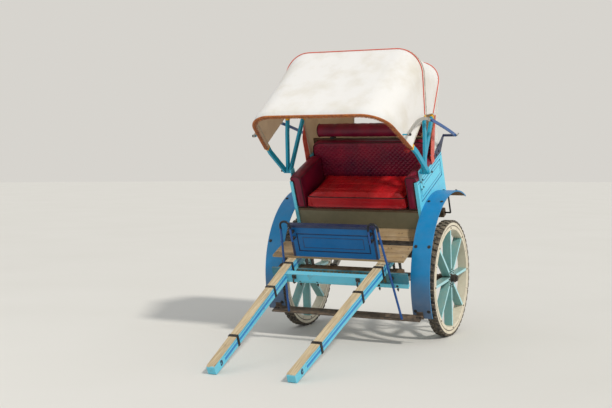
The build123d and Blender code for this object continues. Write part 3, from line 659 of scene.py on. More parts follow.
def archCurve(legs, shoulders, foot, top, corner):
    # (across, reach) and the outward direction, from the left foot over to the right foot
    slope = (shoulders - legs) / (top - hood["knee"])
    start = Vector((legs + slope * max(0.0, foot - hood["knee"]), foot))
    tip, inward = Vector((shoulders, top)), Vector((-1.0, 0.0))
    down = (start - tip).normalized()
    angle = down.angle(inward)
    run = corner / tan(angle / 2)
    centre = tip + (down + inward).normalized() * (corner / sin(angle / 2))
    legEnd, topStart = tip + down * run, tip + inward * run
    out = Vector((-down.y, down.x))
    out = out if out.x > 0 else -out
    steps = hood["legSteps"]
    points = [(start.lerp(legEnd, k / steps), out) for k in range(steps)]
    first, last = (atan2(*(p - centre).yx) for p in (legEnd, topStart))
    for k in range(hood["cornerSteps"]):
        a = first + (last - first) * k / hood["cornerSteps"]
        ray = Vector((cos(a), sin(a)))
        points.append((centre + ray * corner, ray))
    steps, crown = hood["topSteps"], Vector((0.0, top))
    points += [(topStart.lerp(crown, k / steps), Vector((0.0, 1.0))) for k in range(steps + 1)]
    return points + [(Vector((-p.x, p.y)), Vector((-n.x, n.y))) for p, n in points[-2::-1]]


def bowPoint(lean, x, reach, offset):
    # a point of a bow's plane in the level frame
    a = radians(lean)
    y = cart["hoodY"] + reach * sin(a) - offset * cos(a)
    z = cart["hoodZ"] + reach * cos(a) + offset * sin(a)
    return Vector((x, y, z))


def clothSection(index, offset):
    # points and outward directions of the cloth over a bow, at an offset from its middle plane
    name, lean, reach, foot, shoulder = bowTable[index]
    proud = hood["standOff"]
    out = hood["bowThickness"] / 2 + proud
    arch = archCurve(bowCentre(index) + out, shoulder + out, foot, reach + proud, hood["corner"] + proud)
    a = radians(lean)
    return [(bowPoint(lean, p.x, p.y, offset), Vector((n.x, n.y * sin(a), n.y * cos(a)))) for p, n in arch]


def panelEnds(index):
    # the lines that a panel spans: its bow's rear edge and the next carrier behind
    start = clothSection(index, -halfBow)
    if index:
        return start, clothSection(index - 1, halfBow + hood["seam"])
    half, top, foot, depth, corner = hood["rail"]
    z = cart["railTop"] + hood["seam"]
    arch = archCurve(half, top, foot, depth, corner)
    return start, [(Vector((p.x, cart["hoodY"] + p.y, z)), Vector((n.x, n.y, 0.0))) for p, n in arch]


def clothPanel(name, index):
    # One sheet over a bow and on to the next carrier behind it. Each row holds its share of the turn between
    # the two bodies, kept as a point attribute.
    rows = [(clothSection(index, halfBow - k * hood["bowDepth"] / 3), 0.0) for k in range(4)]
    start, end = panelEnds(index)
    for k in range(1, hood["acrossSteps"] + 1):
        share = k / hood["acrossSteps"]
        line = [(p.lerp(q, share), n.lerp(m, share).normalized()) for (p, n), (q, m) in zip(start, end)]
        rows.append((line, share))
    width = len(start)
    points, shares, coords = [], [], []
    run, before = 0.0, rows[0][0][width // 2][0]
    for line, share in rows:
        run += (line[width // 2][0] - before).length
        before = line[width // 2][0]
        along = 0.0
        for c, (p, n) in enumerate(line):
            along += (p - line[c - 1][0]).length if c else 0.0
            u = c / (width - 1)
            dip = hood["sag"] * sin(pi * share) * (0.35 + 0.65 * sin(pi * u))
            fold = noise.noise(Vector((u * 9.0, share * 2.2, index * 7.3)))
            fold += 0.6 * noise.noise(Vector((u * 26.0, share * 3.1, index * 3.7 + 2.0)))
            points.append(p - n * dip + n * (hood["crease"] * fold * sin(pi * share) ** 0.5))
            shares.append(1.0 - share)
            coords.append((along, run))
    piece = meshPiece(name, points, gridFaces(len(rows), width, flip=True))
    piece.data.attributes.new("turnShare", "FLOAT", "POINT").data.foreach_set("value", shares)
    uv = piece.data.uv_layers.new(name="cut")
    for loop in piece.data.loops:
        uv.data[loop.index].uv = coords[loop.vertex_index]
    return piece


def cutWindow(piece):
    # the open window of the back cloth, with rounded corners; gives the line of its rim
    half, low, high, corner = hood["window"]
    planes = [
        (Vector((half, 0, 0)), Vector((1, 0, 0))), (Vector((-half, 0, 0)), Vector((-1, 0, 0))),
        (Vector((0, 0, low)), Vector((0, 0, -1))), (Vector((0, 0, high)), Vector((0, 0, 1))),
    ]
    for z, way in ((high - corner, 1), (low + corner, -1)):
        for side in (-1, 1):
            for a in (radians(22.5), radians(45.0), radians(67.5)):
                out = Vector((side * cos(a), 0, way * sin(a)))
                planes.append((Vector((side * (half - corner), 0, z)) + out * corner, out))

    def nearWindow(point, margin):
        return abs(point.x) < half + margin and low - margin < point.z < high + margin

    work = bmesh.new()
    work.from_mesh(piece.data)
    for place, normal in planes:
        near = [f for f in work.faces if nearWindow(f.calc_center_median(), 0.08)]
        geom = near + list({e for f in near for e in f.edges}) + list({v for f in near for v in f.verts})
        bmesh.ops.bisect_plane(work, geom=geom, plane_co=place, plane_no=normal)
    gone = []
    for face in work.faces:
        middle = face.calc_center_median()
        if middle.y > 0.2 and all((middle - place).dot(normal) < 0 for place, normal in planes):
            gone.append(face)
    bmesh.ops.delete(work, geom=gone, context="FACES")
    borders = [e for e in work.edges if e.is_boundary]
    rim = [e for e in borders if nearWindow((e.verts[0].co + e.verts[1].co) / 2, 0.003)]
    line, used = [], set()
    edge = rim[0]
    vert = edge.verts[0]
    while edge is not None:
        used.add(edge)
        line.append(vert.co.copy())
        vert = edge.other_vert(vert)
        edge = next((e for e in vert.link_edges if e in rim and e not in used), None)
    work.to_mesh(piece.data)
    work.free()
    return line


def turnShares(panel):
    shares = [0.0] * len(panel.data.vertices)
    panel.data.attributes["turnShare"].data.foreach_get("value", shares)
    return shares


def clothFinish(piece, node, bodies, flat, bows):
    piece.data.transform(parked)
    piece.data.materials.append(bpy.data.materials["hoodCanvas"])
    piece.data.shade_smooth()
    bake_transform(piece)
    turnShares(piece)
    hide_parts(node)


def followPanel(piece, index):
    # for each point of a trim piece, finds the share of the turn of the nearest point of the cloth that it is
    # sewn to; the shares are not kept
    panel, bodies = panels[index], panelTable[index][2]
    shares = turnShares(panel)
    tree = KDTree(len(shares))
    for vert in panel.data.vertices:
        tree.insert(vert.co, vert.index)
    tree.balance()
    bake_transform(piece)
    own = [shares[tree.find(vert.co)[1]] for vert in piece.data.vertices]


def bowSleeve(index):
    # the pocket of cloth that hides a bow between the feet of the cloth; it is painted tan as shade, like the
    # inside of the canvas
    name, lean, reach, foot, shoulder = bowTable[index]
    thin = hood["bowThickness"] / 2
    front = (
        (halfBow + 0.0004, thin + 0.0010), (halfBow + 0.0030, thin * 0.3), (halfBow + 0.0022, -thin * 0.7),
        (halfBow - 0.0060, -thin - 0.0030),
    )
    around = (*front, (0.0, -thin - 0.0040), *((-offset, proud) for offset, proud in front[::-1]))
    points = []
    for offset, proud in around:
        legs, shoulders, deep = bowCentre(index) + proud, shoulder + proud, proud - thin
        arch = archCurve(legs, shoulders, foot, reach + deep, hood["corner"] + deep)
        for k, (place, normal) in enumerate(arch):
            pucker = 0.0018 * abs(noise.noise(Vector((k * 0.45, offset * 60, index * 5.1))))
            spot = place - normal * (pucker if proud < 0 else 0.0)
            points.append(bowPoint(lean, spot.x, spot.y, offset))
    piece = meshPiece(f"bowSleeve_{name}", points, gridFaces(len(around), len(arch)))
    finishMesh(piece, "hoodLining", f"hood_{name}_bow", smooth=60)


for index in range(3):
    bowSleeve(index)
panels = {index: clothPanel(row[0], index) for index, row in panelTable.items()}
windowRim = cutWindow(panels[0])
for index, row in panelTable.items():
    clothFinish(panels[index], *row[1:])
print("hood cloth made")


# Trim of the hood
hoodTrim = {
    "rollRadius": 0.0075,
    "tape": (0.022, 0.002),      # width and thickness
    "fringeLength": 0.036,
    "fringeStep": 0.0075,
    "strandWidth": 0.0022,
    "pipingRadius": 0.0042,
    "hemRadius": 0.0035,
    "bindingRadius": 0.006,
    "capLength": 0.030,
    "capWall": 0.0016,
    "tassel": (0.027, 900),     # radius and strands
    "lashingAcross": (-0.110, 0.080),
    "lashingRadius": 0.0035,
    "strapWidth": (0.010, 0.040, 0.080),   # behind the edge at top and foot, in front of it at the foot
    "strapFoot": ((0.6265, 0.0), (0.631, 0.084)),   # two corners of its end on the side panel
}

# fringe, tape and rolled edge of the front bow
ahead = Vector((0, -cos(radians(frontLean)), sin(radians(frontLean))))
edge = clothSection(2, halfBow + 0.0015)
work = bmesh.new()
addTube(work, spaced([p + n * 0.001 for p, n in edge], 0.02), hoodTrim["rollRadius"], sides=8)
tape = [p + ahead * 0.001 for p in spaced([p - n * 0.012 for p, n in edge], 0.02)]
width, thickness = hoodTrim["tape"]
rings = []
for k, point in enumerate(tape):
    tangent = (tape[min(k + 1, len(tape) - 1)] - tape[max(k - 1, 0)]).normalized()
    across, out = tangent.cross(ahead).normalized() * width / 2, ahead * thickness
    corners = (-across, across, across + out, out * 1.15, out - across)
    rings.append(newVerts(work, [point + d for d in corners]))
addRings(work, rings, caps=True)
outer = spaced([p for p, n in edge], hoodTrim["fringeStep"])
inner = spaced([p - n * hoodTrim["fringeLength"] for p, n in edge], hoodTrim["fringeStep"])
steps = len(outer)
for k, a in enumerate(outer):
    b = inner[min(len(inner) - 1, int(k * len(inner) / steps))]
    across = (outer[min(k + 1, steps - 1)] - outer[max(k - 1, 0)]).normalized() * hoodTrim["strandWidth"]
    for strand in range(3):
        wave = noise.noise_vector(Vector((k * 0.71, strand * 3.1, 0.5)))
        start = a + ahead * (0.003 + 0.001 * strand) + wave * 0.002
        end = a.lerp(b, 1.0 + 0.28 * wave.z) + ahead * (0.003 + 0.004 * abs(wave.x)) + wave * 0.005
        middle = start.lerp(end, 0.5) + ahead * 0.0035
        rows = ((start, across), (middle, across), (end, across * 0.4))
        addRings(work, [newVerts(work, (p - d, p + d)) for p, d in rows], closed=False)
closeWork("hoodFringe", work, "orangeFringe", "hood_front_bow")

for name, index, offset, finish in (
    ("middleSeamPiping", 1, halfBow + 0.0005, "coralBinding"),
    ("middleBackPiping", 1, -halfBow, "canvasHem"),
    ("rearSeamPiping", 0, halfBow, "coralBinding"),
):
    work = bmesh.new()
    line = [p + n * 0.0048 for p, n in clothSection(index, offset)]
    addTube(work, spaced(line, 0.02), hoodTrim["pipingRadius"])
    closeWork(name, work, finish, f"hood_{bowTable[index][0]}_bow")


def panelEdge(index, side, inward=0.0):
    # line along the lower edge of a panel behind its bow, a little way up the cloth
    start, end = (line[::side] for line in panelEnds(index))
    made = []
    for k in range(25):
        share = k / 24
        line = [p.lerp(q, share) for (p, n), (q, m) in zip(start, end)]
        run, place = 0.0, line[0]
        for a, b in zip(line, line[1:]):
            step = (b - a).length
            if run + step >= inward:
                place = a.lerp(b, (inward - run) / step)
                break
            run += step
        made.append((place, start[0][1].lerp(end[0][1], share).normalized()))
    return made


for name, index in (("frontPanelHem", 2), ("rearPanelHem", 1), ("curtainSideHem", 0)):
    work = bmesh.new()
    for side in (1, -1):
        addTube(work, [p for p, n in panelEdge(index, side)], hoodTrim["hemRadius"], sides=6)
    followPanel(closeWork(name, work, "canvasHem", None), index)

# broad strap down each rear corner, folded round the curtain's edge
work = bmesh.new()
slim, wide, fold = hoodTrim["strapWidth"]
for side in (1, -1):
    lines = [panelEdge(0, side, 0.004 + inward) for inward in (0.0, slim, wide)]
    across = Vector((side, 0, 0))
    rings = []
    for k, (edge, out) in enumerate(lines[0]):
        share = k / 24
        inner = lines[1][k][0].lerp(lines[2][k][0], share)
        opened = min(1.0, max(0.0, (share - 0.12) / 0.42))
        front = edge + forward * (0.004 + fold * opened * opened * (3 - 2 * opened))
        clear = across * 0.0065 * share ** 3
        bend = edge + (out + across) * 0.0065 + clear
        ring = [front + across * 0.003 + clear, edge + out * 0.002, inner + out * 0.002]
        rings.append(newVerts(work, [*ring, inner + out * 0.0065, bend, front + across * 0.0075 + clear]))
    addRings(work, rings, caps=True)
    foot = lines[0][-1][0]
    corners = [foot + across * (x - abs(foot.x)) + forward * y for x, y in hoodTrim["strapFoot"]]
    low, high = (Vector(pick(pair) for pair in zip(*corners)) for pick in (min, max))
    addBox(work, (low.x, low.y, cart["panelTop"] - 0.002), (high.x, high.y, foot.z + 0.001))
followPanel(closeWork("curtainSideBand", work, "coralBinding", None, outward=True), 0)

work = bmesh.new()
addTube(work, windowRim, hoodTrim["bindingRadius"], closed=True)
followPanel(closeWork("windowBinding", work, "canvasHem", None), 0)

for index, (name, lean, reach, foot, shoulder) in enumerate(bowTable):
    work = bmesh.new()
    low, high = foot - hoodTrim["capLength"], foot - 0.002
    centre, thick = bowCentre(index), hoodTrim["capWall"]
    for side in (-1, 1):
        rings = []
        for at, wall in ((low, 0.0004), (low + 0.002, thick), (high - 0.002, thick), (high, 0.0004)):
            leg = centre + (shoulder - centre) * max(0.0, at - hood["knee"]) / (reach - hood["knee"])
            wide, deep = hood["bowThickness"] / 2 + wall, halfBow + wall
            corners = ((-wide, -deep), (wide, -deep), (wide, deep), (-wide, deep))
            rings.append(newVerts(work, [bowPoint(lean, side * (leg + x), at, o) for x, o in corners]))
        addRings(work, rings)
    closeWork(f"bowCaps_{name}", work, "yellowPaint", f"hood_{name}_bow", smooth=0, outward=True)

# red tassel on the near end of the front bow
work = bmesh.new()
radius, strands = hoodTrim["tassel"]
heart = bowPoint(frontLean, bowCentre(2) - 0.042, 0.452, halfBow + 0.018)
bmesh.ops.create_icosphere(work, subdivisions=3, radius=radius * 0.72)
for vert in work.verts:
    vert.co = vert.co * (1 + 0.12 * noise.noise(vert.co * 160)) + heart
golden = pi * (3 - sqrt(5))
for k in range(strands):
    z = 1 - 2 * (k + 0.5) / strands
    r = sqrt(1 - z * z)
    ray = Vector((r * cos(golden * k), r * sin(golden * k), z))
    sway = noise.noise_vector(ray * 6) * 0.25
    tip = heart + (ray + sway) * radius * (0.95 + 0.12 * noise.noise(ray * 30))
    base = heart + ray * radius * 0.6
    side = ray.orthogonal().normalized() * 0.0016
    work.faces.new(newVerts(work, (base - side, base + side, tip)))
cord = [heart + Vector(step) for step in ((0, 0, 0), (0.014, 0.010, 0.020), (0.030, 0.018, 0.028))]
addTube(work, cord, 0.0022, sides=6)
closeWork("bowTassel", work, "redTassel", "hood_front_bow", smooth=0)

# lashings knotted tight round the rear bow at the head of the window
work = bmesh.new()
for x in hoodTrim["lashingAcross"]:
    loop = []
    for a in [2 * pi * k / 16 for k in range(16)]:
        loop.append(bowPoint(rearLean, x + 0.004 * sin(a * 2), 1.109 + 0.0150 * cos(a), 0.0285 * sin(a)))
    addTube(work, loop, hoodTrim["lashingRadius"], sides=6, closed=True)
    for dx, dz in ((0.007, 0.006), (-0.006, 0.008)):
        knot = []
        for s in (-0.6, 0.2, 1.0, 1.6):
            knot.append(bowPoint(rearLean, x + dx * s, 1.093 - dz * s, 0.0185 + 0.002 * s))
        addTube(work, knot, hoodTrim["lashingRadius"] + 0.0001, sides=6)
closeWork("bowLashings", work, "darkTie", "hood_rear_bow")
print("hood trim made")


# Wheels: tyre with staggered shoulder lugs, rim lines with painted shade in the grooves, hub fittings
wheel = {
    "treadRadius": 0.5235,
    "steps": 150,
    "lugs": 50,
    "lugShare": 0.60,
    "slant": 0.010,
    "rimHalf": 0.042,
    "grooveRadius": 0.4832,
    "grooveHalf": 0.0038,
    "jointHalf": 0.0016,
    "spokes": 8,
    "spokePhase": 5.0,
    # half of the tyre's profile: across, radius
    "profile": ((0.034, 0.5235), (0.0425, 0.5225), (0.0452, 0.5185), (0.0448, 0.5145), (0.0405, 0.512)),
    # across, radius, share of the lug's length, slant, how far its outer corners are rounded
    "lugSections": (
        (0.0458, 0.5150, 0.80, 1.0, 1.0), (0.0460, 0.5255, 0.95, 1.0, 1.0),
        (0.0440, 0.5315, 0.92, 0.9, 0.997), (0.0400, 0.5348, 0.86, 0.8, 0.997),
        (0.0100, 0.5350, 0.74, 0.1, 0.997), (0.0060, 0.5320, 0.78, 0.0, 0.997),
        (0.0050, 0.5236, 0.86, 0.0, 1.0),
    ),
    "hubBand": ((0.066, 0.0342), (0.0672, 0.0372), (0.0768, 0.0372), (0.078, 0.0342)),
}
bothWays = [(a, b) for a in (-1, 1) for b in (-1, 1)]


def wheelPoint(x, radius, angle):
    # across the wheel, radius, angle from the rear; the axle is the origin
    return Vector((x, radius * cos(angle), radius * sin(angle)))


def wheelRing(work, x, radius, count):
    return newVerts(work, [wheelPoint(x, radius, 2 * pi * k / count) for k in range(count)])


def tyreMesh(side):
    work = bmesh.new()
    half = wheel["profile"]
    profile = [(-x, r) for x, r in half[::-1]] + [(0.0, wheel["treadRadius"] + 0.0008), *half]
    addRings(work, [wheelRing(work, x, r, wheel["steps"]) for x, r in profile])
    pitch = 2 * pi / wheel["lugs"]
    halfLug = wheel["lugShare"] * pitch / 2
    for row, lug in [(row, lug) for row in (-1, 1) for lug in range(wheel["lugs"])]:
        middle = radians(270) + lug * pitch + (row + 1) * pitch / 4
        lines = []
        for x, r, share, slant, corner in wheel["lugSections"]:
            turn = middle + wheel["slant"] * slant / r * row
            ends = ((-1, corner), (-0.85, 1.0), (0.85, 1.0), (1, corner))
            points = [wheelPoint(row * x, r * c, turn + s * halfLug * share) for s, c in ends]
            lines.append(newVerts(work, points))
        addRings(work, lines, closed=False)
        for j in (0, 3):
            work.faces.new([line[j] for line in lines])
    tyre = closeWork(
        f"tyreTread_{side}", work, "dustyRubber", f"wheel_{side}", 32, wheelPlace[side], outward=True
    )
    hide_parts(f"tyre_{side}")


def wheelTrim(side):
    rimHalf, groove = wheel["rimHalf"], wheel["grooveRadius"]
    turns = [radians(wheel["spokePhase"] + k * 360 / wheel["spokes"]) for k in range(wheel["spokes"])]
    work = bmesh.new()
    # a dark ring down in the groove of each face of the rim is painted shade; the short dark marks across the
    # felloe are its joints
    for face in (-1, 1):
        half = face * wheel["grooveHalf"]
        radii = (groove + half, groove - half)
        addRings(work, [wheelRing(work, face * (rimHalf - 0.0036), r, 120) for r in radii])
        for turn in turns:
            joint = turn + radians(180 / wheel["spokes"])
            for low, high in ((0.4485, 0.479), (0.488, 0.5118)):
                ends = []
                for r, s in ((low, -1), (low, 1), (high, 1), (high, -1)):
                    ends.append(wheelPoint(face * (rimHalf + 0.0003), r, joint + s * wheel["jointHalf"] / r))
                work.faces.new(newVerts(work, ends))
    closeWork(f"rimGrooveShadeAndJoints_{side}", work, "darkPiping", f"wheel_{side}", 0, wheelPlace[side], outward=True)
    work = bmesh.new()
    for turn in turns:
        for face in (-1, 1):
            for r in (0.060, 0.082):
                addBolt(work, wheelPoint(face * 0.038, r, turn), (face, 0, 0), 0.0062, 0.004, 8, 0)
            addBolt(work, wheelPoint(face * rimHalf, 0.4655, turn), (face, 0, 0), 0.0052, 0.003, 8, 1.5)
    for end in (-1, 1):   # iron bands round both noses of the hub
        addRings(work, [wheelRing(work, end * x, r, 28) for x, r in wheel["hubBand"]])
    closeWork(f"hubFittings_{side}", work, "darkIron", f"wheel_{side}", 35, wheelPlace[side], outward=True)


for side in wheelPlace:
    tyreMesh(side)
    wheelTrim(side)
print("wheels made")


# Upholstery: padded seat, backrest, armrests and the bolster above them
seat = {
    "cushion": ((-0.500, -0.170, 1.293), (0.500, 0.3297, 1.443)),
    "curve": 0.026,              # rounding of the cushion's edges, and how far it is crowned
    "channels": ((-0.04, 0.08, 0.20), 0.11),   # places of the long seams, spacing of the short ones
    "backrest": ((-0.5947, 0.330, 1.293), (0.5947, 0.410, 1.753)),
    "backCorner": 0.085,
    "backInset": 0.020,
    "armInner": 0.506,
    "armFront": -0.164,
    "armBack": 0.3297,
    "armFoot": 1.300,
    "bodyInner": 0.595,
    "frames": 20,
    "diamond": (0.046, 0.042),   # width and height of one quilted diamond
    "quiltDepth": 0.0065,
    "roll": (0.065, 0.510, 0.400, 1.853),   # radius, half length, y, z
    "rollSeams": (-0.34, 0.0, 0.34),
    # radius at upper edges, at lower edge and roll, at armrest edges, at armrest seams
    "piping": (0.0048, 0.0042, 0.0045, 0.0035),
}
upperPiping, lowerPiping, armPiping, seamPiping = seat["piping"]


def settle(piece, voxel, pressure, cap, low, high, keepBelow=None):
    # puff a closed pad by a short cloth simulation, then hold it to its room
    modifier = piece.modifiers.new("even", "REMESH")
    modifier.mode = "VOXEL"
    modifier.voxel_size = voxel
    bpy.context.view_layer.objects.active = piece
    bpy.ops.object.modifier_apply(modifier=modifier.name)
    points = np.array([v.co for v in piece.data.vertices])
    cloth = piece.modifiers.new("pad", "CLOTH")
    settings = cloth.settings
    settings.use_pressure = True
    settings.uniform_pressure_force = pressure
    settings.mass = 0.4
    settings.quality = 4
    settings.tension_stiffness = 25
    settings.bending_stiffness = 3
    settings.effector_weights.gravity = 0
    cloth.collision_settings.use_collision = False
    if keepBelow is not None:
        pinned = piece.vertex_groups.new(name="seated")
        pinned.add([k for k, p in enumerate(points) if p[2] < keepBelow], 1.0, "REPLACE")
        settings.vertex_group_mass = "seated"
    scene = bpy.context.scene
    for number in range(1, seat["frames"] + 1):
        scene.frame_set(number)
    shaped = piece.evaluated_get(bpy.context.evaluated_depsgraph_get())
    move = np.array([v.co for v in shaped.data.vertices]) - points
    piece.modifiers.clear()
    length = np.linalg.norm(move, axis=1, keepdims=True)
    points = points + move * np.minimum(1.0, cap / np.maximum(length, 1e-9))
    scene.frame_set(1)
    points = np.clip(points, np.array(low), np.array(high))
    piece.data.vertices.foreach_set("co", points.astype(np.float32).ravel())
    piece.data.update()


def edgePiping(name, line, target, radius, closed=True):
    # sewn piping: a line of points drawn on to the nearest surface of a pad
    line = [Vector(p) for p in line]
    made = []
    for p in spaced(line + line[:1] if closed else line, 0.012):
        hit, place, normal, _ = target.closest_point_on_mesh(p)
        made.append(place + normal * radius * 0.35)
    made = made[:-1] if closed else made
    count = len(made)
    for _ in range(2):
        smoothed = list(made)
        for k in range(count) if closed else range(1, count - 1):
            smoothed[k] = (made[k - 1] + made[k] * 2 + made[(k + 1) % count]) / 4
        made = smoothed
    work = bmesh.new()
    addTube(work, made, radius, closed=closed)
    closeWork(name, work, "darkPiping")


def padFinish(pad, finish, node, smooth=60, rounded=False):
    if rounded:
        level = pad.modifiers.new("round", "SUBSURF")
        level.levels = level.render_levels = 1
    finishMesh(pad, finish, smooth=smooth)
    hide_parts(node)


def armPad(side, name):
    inner, outer, top = seat["armInner"], cart["bodyOuter"], cart["railTop"]
    front, back, foot = seat["armFront"], seat["armBack"], seat["armFoot"]
    body, panel = seat["bodyInner"] - 0.0013, cart["panelTop"] + 0.0013
    outline = [
        (inner + 0.003, foot), (inner + 0.001, 1.45), (inner + 0.003, top - 0.034),
        (inner + 0.014, top - 0.012), (inner + 0.034, top - 0.003), (0.565, top - 0.001),
        (outer - 0.022, top - 0.004), (outer - 0.005, top - 0.017), (outer - 0.002, top - 0.036),
        (outer - 0.004, panel), (body, panel), (body, foot),
    ]
    work = bmesh.new()
    rings = []
    for k in range(9):
        y = front + (back - front) * k / 8
        rings.append(newVerts(work, [(side * x, y, z) for x, z in outline]))
    addRings(work, rings, caps=True)
    outwardNormals(work)
    ends = [e for e in work.edges if all(abs(v.co.y - front) < 1e-6 for v in e.verts)]
    bmesh.ops.bevel(work, geom=ends, offset=0.010, segments=2, affect="EDGES")
    pad = workPiece(f"armPad{name}", work)
    left, right = sorted((side * inner, side * outer))
    settle(pad, 0.0075, 3.0, 0.006, (left, front, 1.2935), (right, back, top))
    # keep the pad clear of the side panel that it lies over and beside
    clear = 0.0006
    for vert in pad.data.vertices:
        if vert.co.z < cart["panelTop"] + clear and side * vert.co.x > seat["bodyInner"] - clear:
            if cart["panelTop"] - vert.co.z < abs(vert.co.x) - seat["bodyInner"]:
                vert.co.z = cart["panelTop"] + clear
            else:
                vert.co.x = side * (seat["bodyInner"] - clear)
    face = [
        (inner + 0.008, foot + 0.012), (inner + 0.008, top - 0.030), (inner + 0.026, top - 0.010),
        (outer - 0.024, top - 0.010), (outer - 0.010, top - 0.030), (outer - 0.010, panel + 0.008),
        (body - 0.008, panel + 0.004), (body - 0.008, foot + 0.012),
    ]
    edgePiping(f"armPiping{name}", [(side * x, front + 0.004, z) for x, z in face], pad, armPiping)
    seam = [(side * inner, y, top - 0.022) for y in (front + 0.02, back - 0.01)]
    edgePiping(f"armSeam{name}", seam, pad, seamPiping, closed=False)
    padFinish(pad, "burgundyVinyl", "armrests", 70, rounded=True)


def seatPad():
    # a closed pad a little smaller than its room, crowned on top, then puffed
    low, high = seat["cushion"]
    roomLow = Vector((low[0] + 0.004, low[1] + 0.004, low[2]))
    roomHigh = Vector((high[0] - 0.004, high[1] - 0.002, high[2]))
    size, middle, curve = roomHigh - roomLow, (roomHigh + roomLow) / 2, seat["curve"]
    work = bmesh.new()
    bmesh.ops.create_cube(work, size=1.0)
    bmesh.ops.subdivide_edges(work, edges=work.edges[:], cuts=9, use_grid_fill=True)
    for vert in work.verts:
        u = vert.co * 2
        p = Vector(middle[k] + u[k] * (size[k] / 2) for k in range(3))
        inner = Vector(max(roomLow[k] + curve, min(roomHigh[k] - curve, p[k])) for k in range(3))
        if (p - inner).length > 1e-6:
            p = inner + (p - inner).normalized() * min(curve, (p - inner).length)
        if u.z > 0:
            p.z -= curve * max(abs(u.x) ** 4, abs(u.y) ** 4)
        p.x -= 0.008 * u.x * (1 - abs(u.y)) * (0.4 + 0.6 * max(0.0, u.z))
        p.y += 0.010 * max(0.0, -u.y) * (1 - u.x * u.x) * max(0.0, 1 - abs(u.z - 0.4))
        vert.co = p
    pad = workPiece("seatPad", work)
    settle(pad, 0.009, 5.5, 0.018, roomLow, roomHigh, keepBelow=roomLow.z + 0.01)
    x, front, back = high[0] - 0.010, low[1] + 0.008, high[1] - 0.012
    for name, z, radius in (("Upper", high[2] - 0.022, upperPiping), ("Lower", low[2] + 0.020, lowerPiping)):
        line = ((-x, front, z), (x, front, z), (x, back, z), (-x, back, z))
        edgePiping(f"seatPiping{name}", line, pad, radius)
    # sewn channels across the top, drawn in by the stitching
    long, spacing = seat["channels"]
    for vert in pad.data.vertices:
        if vert.co.z > high[2] - 0.04:
            for row in long:
                vert.co.z -= 0.007 * max(0.0, 1 - abs(vert.co.y - row) / 0.022) ** 2
            for column in range(-4, 5):
                vert.co.z -= 0.004 * max(0.0, 1 - abs(vert.co.x - column * spacing) / 0.020) ** 2
    padFinish(pad, "redVinyl", "seat_cushion", 70, rounded=True)


def backPad():
    # the quilted face is a field of small pillows between diagonal seams
    low, high = (Vector(p) for p in seat["backrest"])
    wide, tall = seat["diamond"]
    columns, rows = 236, 96
    inset, bend = seat["backInset"], seat["backCorner"]
    points = []
    for u, v in [(c / columns, r / rows) for r in range(rows + 1) for c in range(columns + 1)]:
        x = low.x + 0.002 + (high.x - low.x - 0.004) * u
        z = low.z + (high.z - low.z) * v
        a, b = (x / wide + z / tall) % 1.0, (x / wide - z / tall) % 1.0
        seam = min(a, 1 - a, b, 1 - b) * 2
        pillow = seat["quiltDepth"] * (1 - (1 - min(1.0, seam * 1.15)) ** 2.4)
        rim = min(x - low.x, high.x - x, high.z - z)
        fade = min(1.0, max(0.0, (rim - 0.012) / 0.02))
        y = low.y + 0.0152 - 0.009 * sin(pi * u) * sin(pi * v) ** 0.7 - pillow * fade + 0.003 * (1 - fade)
        if rim < inset:
            y += inset - sqrt(max(0.0, inset ** 2 - (inset - rim) ** 2))
        # the two upper corners are drawn in to a curve
        s = max(0.0, abs(x) - (high.x - bend)) / bend
        t = max(0.0, z - (high.z - bend)) / bend
        if s > 0 and t > 0:
            x = (1 if x > 0 else -1) * (high.x - bend + bend * s * sqrt(1 - t * t / 2))
            z = high.z - bend + bend * t * sqrt(1 - s * s / 2)
        points.append((x, min(y, high.y - 0.01), z))
    faces = gridFaces(rows + 1, columns + 1)
    ring = [c for c in range(columns + 1)]
    ring += [r * (columns + 1) + columns for r in range(1, rows + 1)]
    ring += [rows * (columns + 1) + c for c in range(columns - 1, -1, -1)]
    ring += [r * (columns + 1) for r in range(rows - 1, 0, -1)]
    start, count = len(points), len(ring)
    points += [(points[k][0], high.y, points[k][2]) for k in ring]
    for k in range(count):
        n = (k + 1) % count
        faces.append((ring[n], ring[k], start + k, start + n))
    faces.append([start + k for k in range(count)])
    pad = meshPiece("backrestPad", points, faces)
    line = [(x, 0.35, z) for x, z in ((0.583, 1.31), (0.583, 1.67), (0.562, 1.72), (0.51, 1.741))]
    line = [(-x, y, z) for x, y, z in line] + line[::-1]
    edgePiping("backrestPiping", line, pad, upperPiping, closed=False)
    padFinish(pad, "burgundyVinyl", "backrest_cushion")


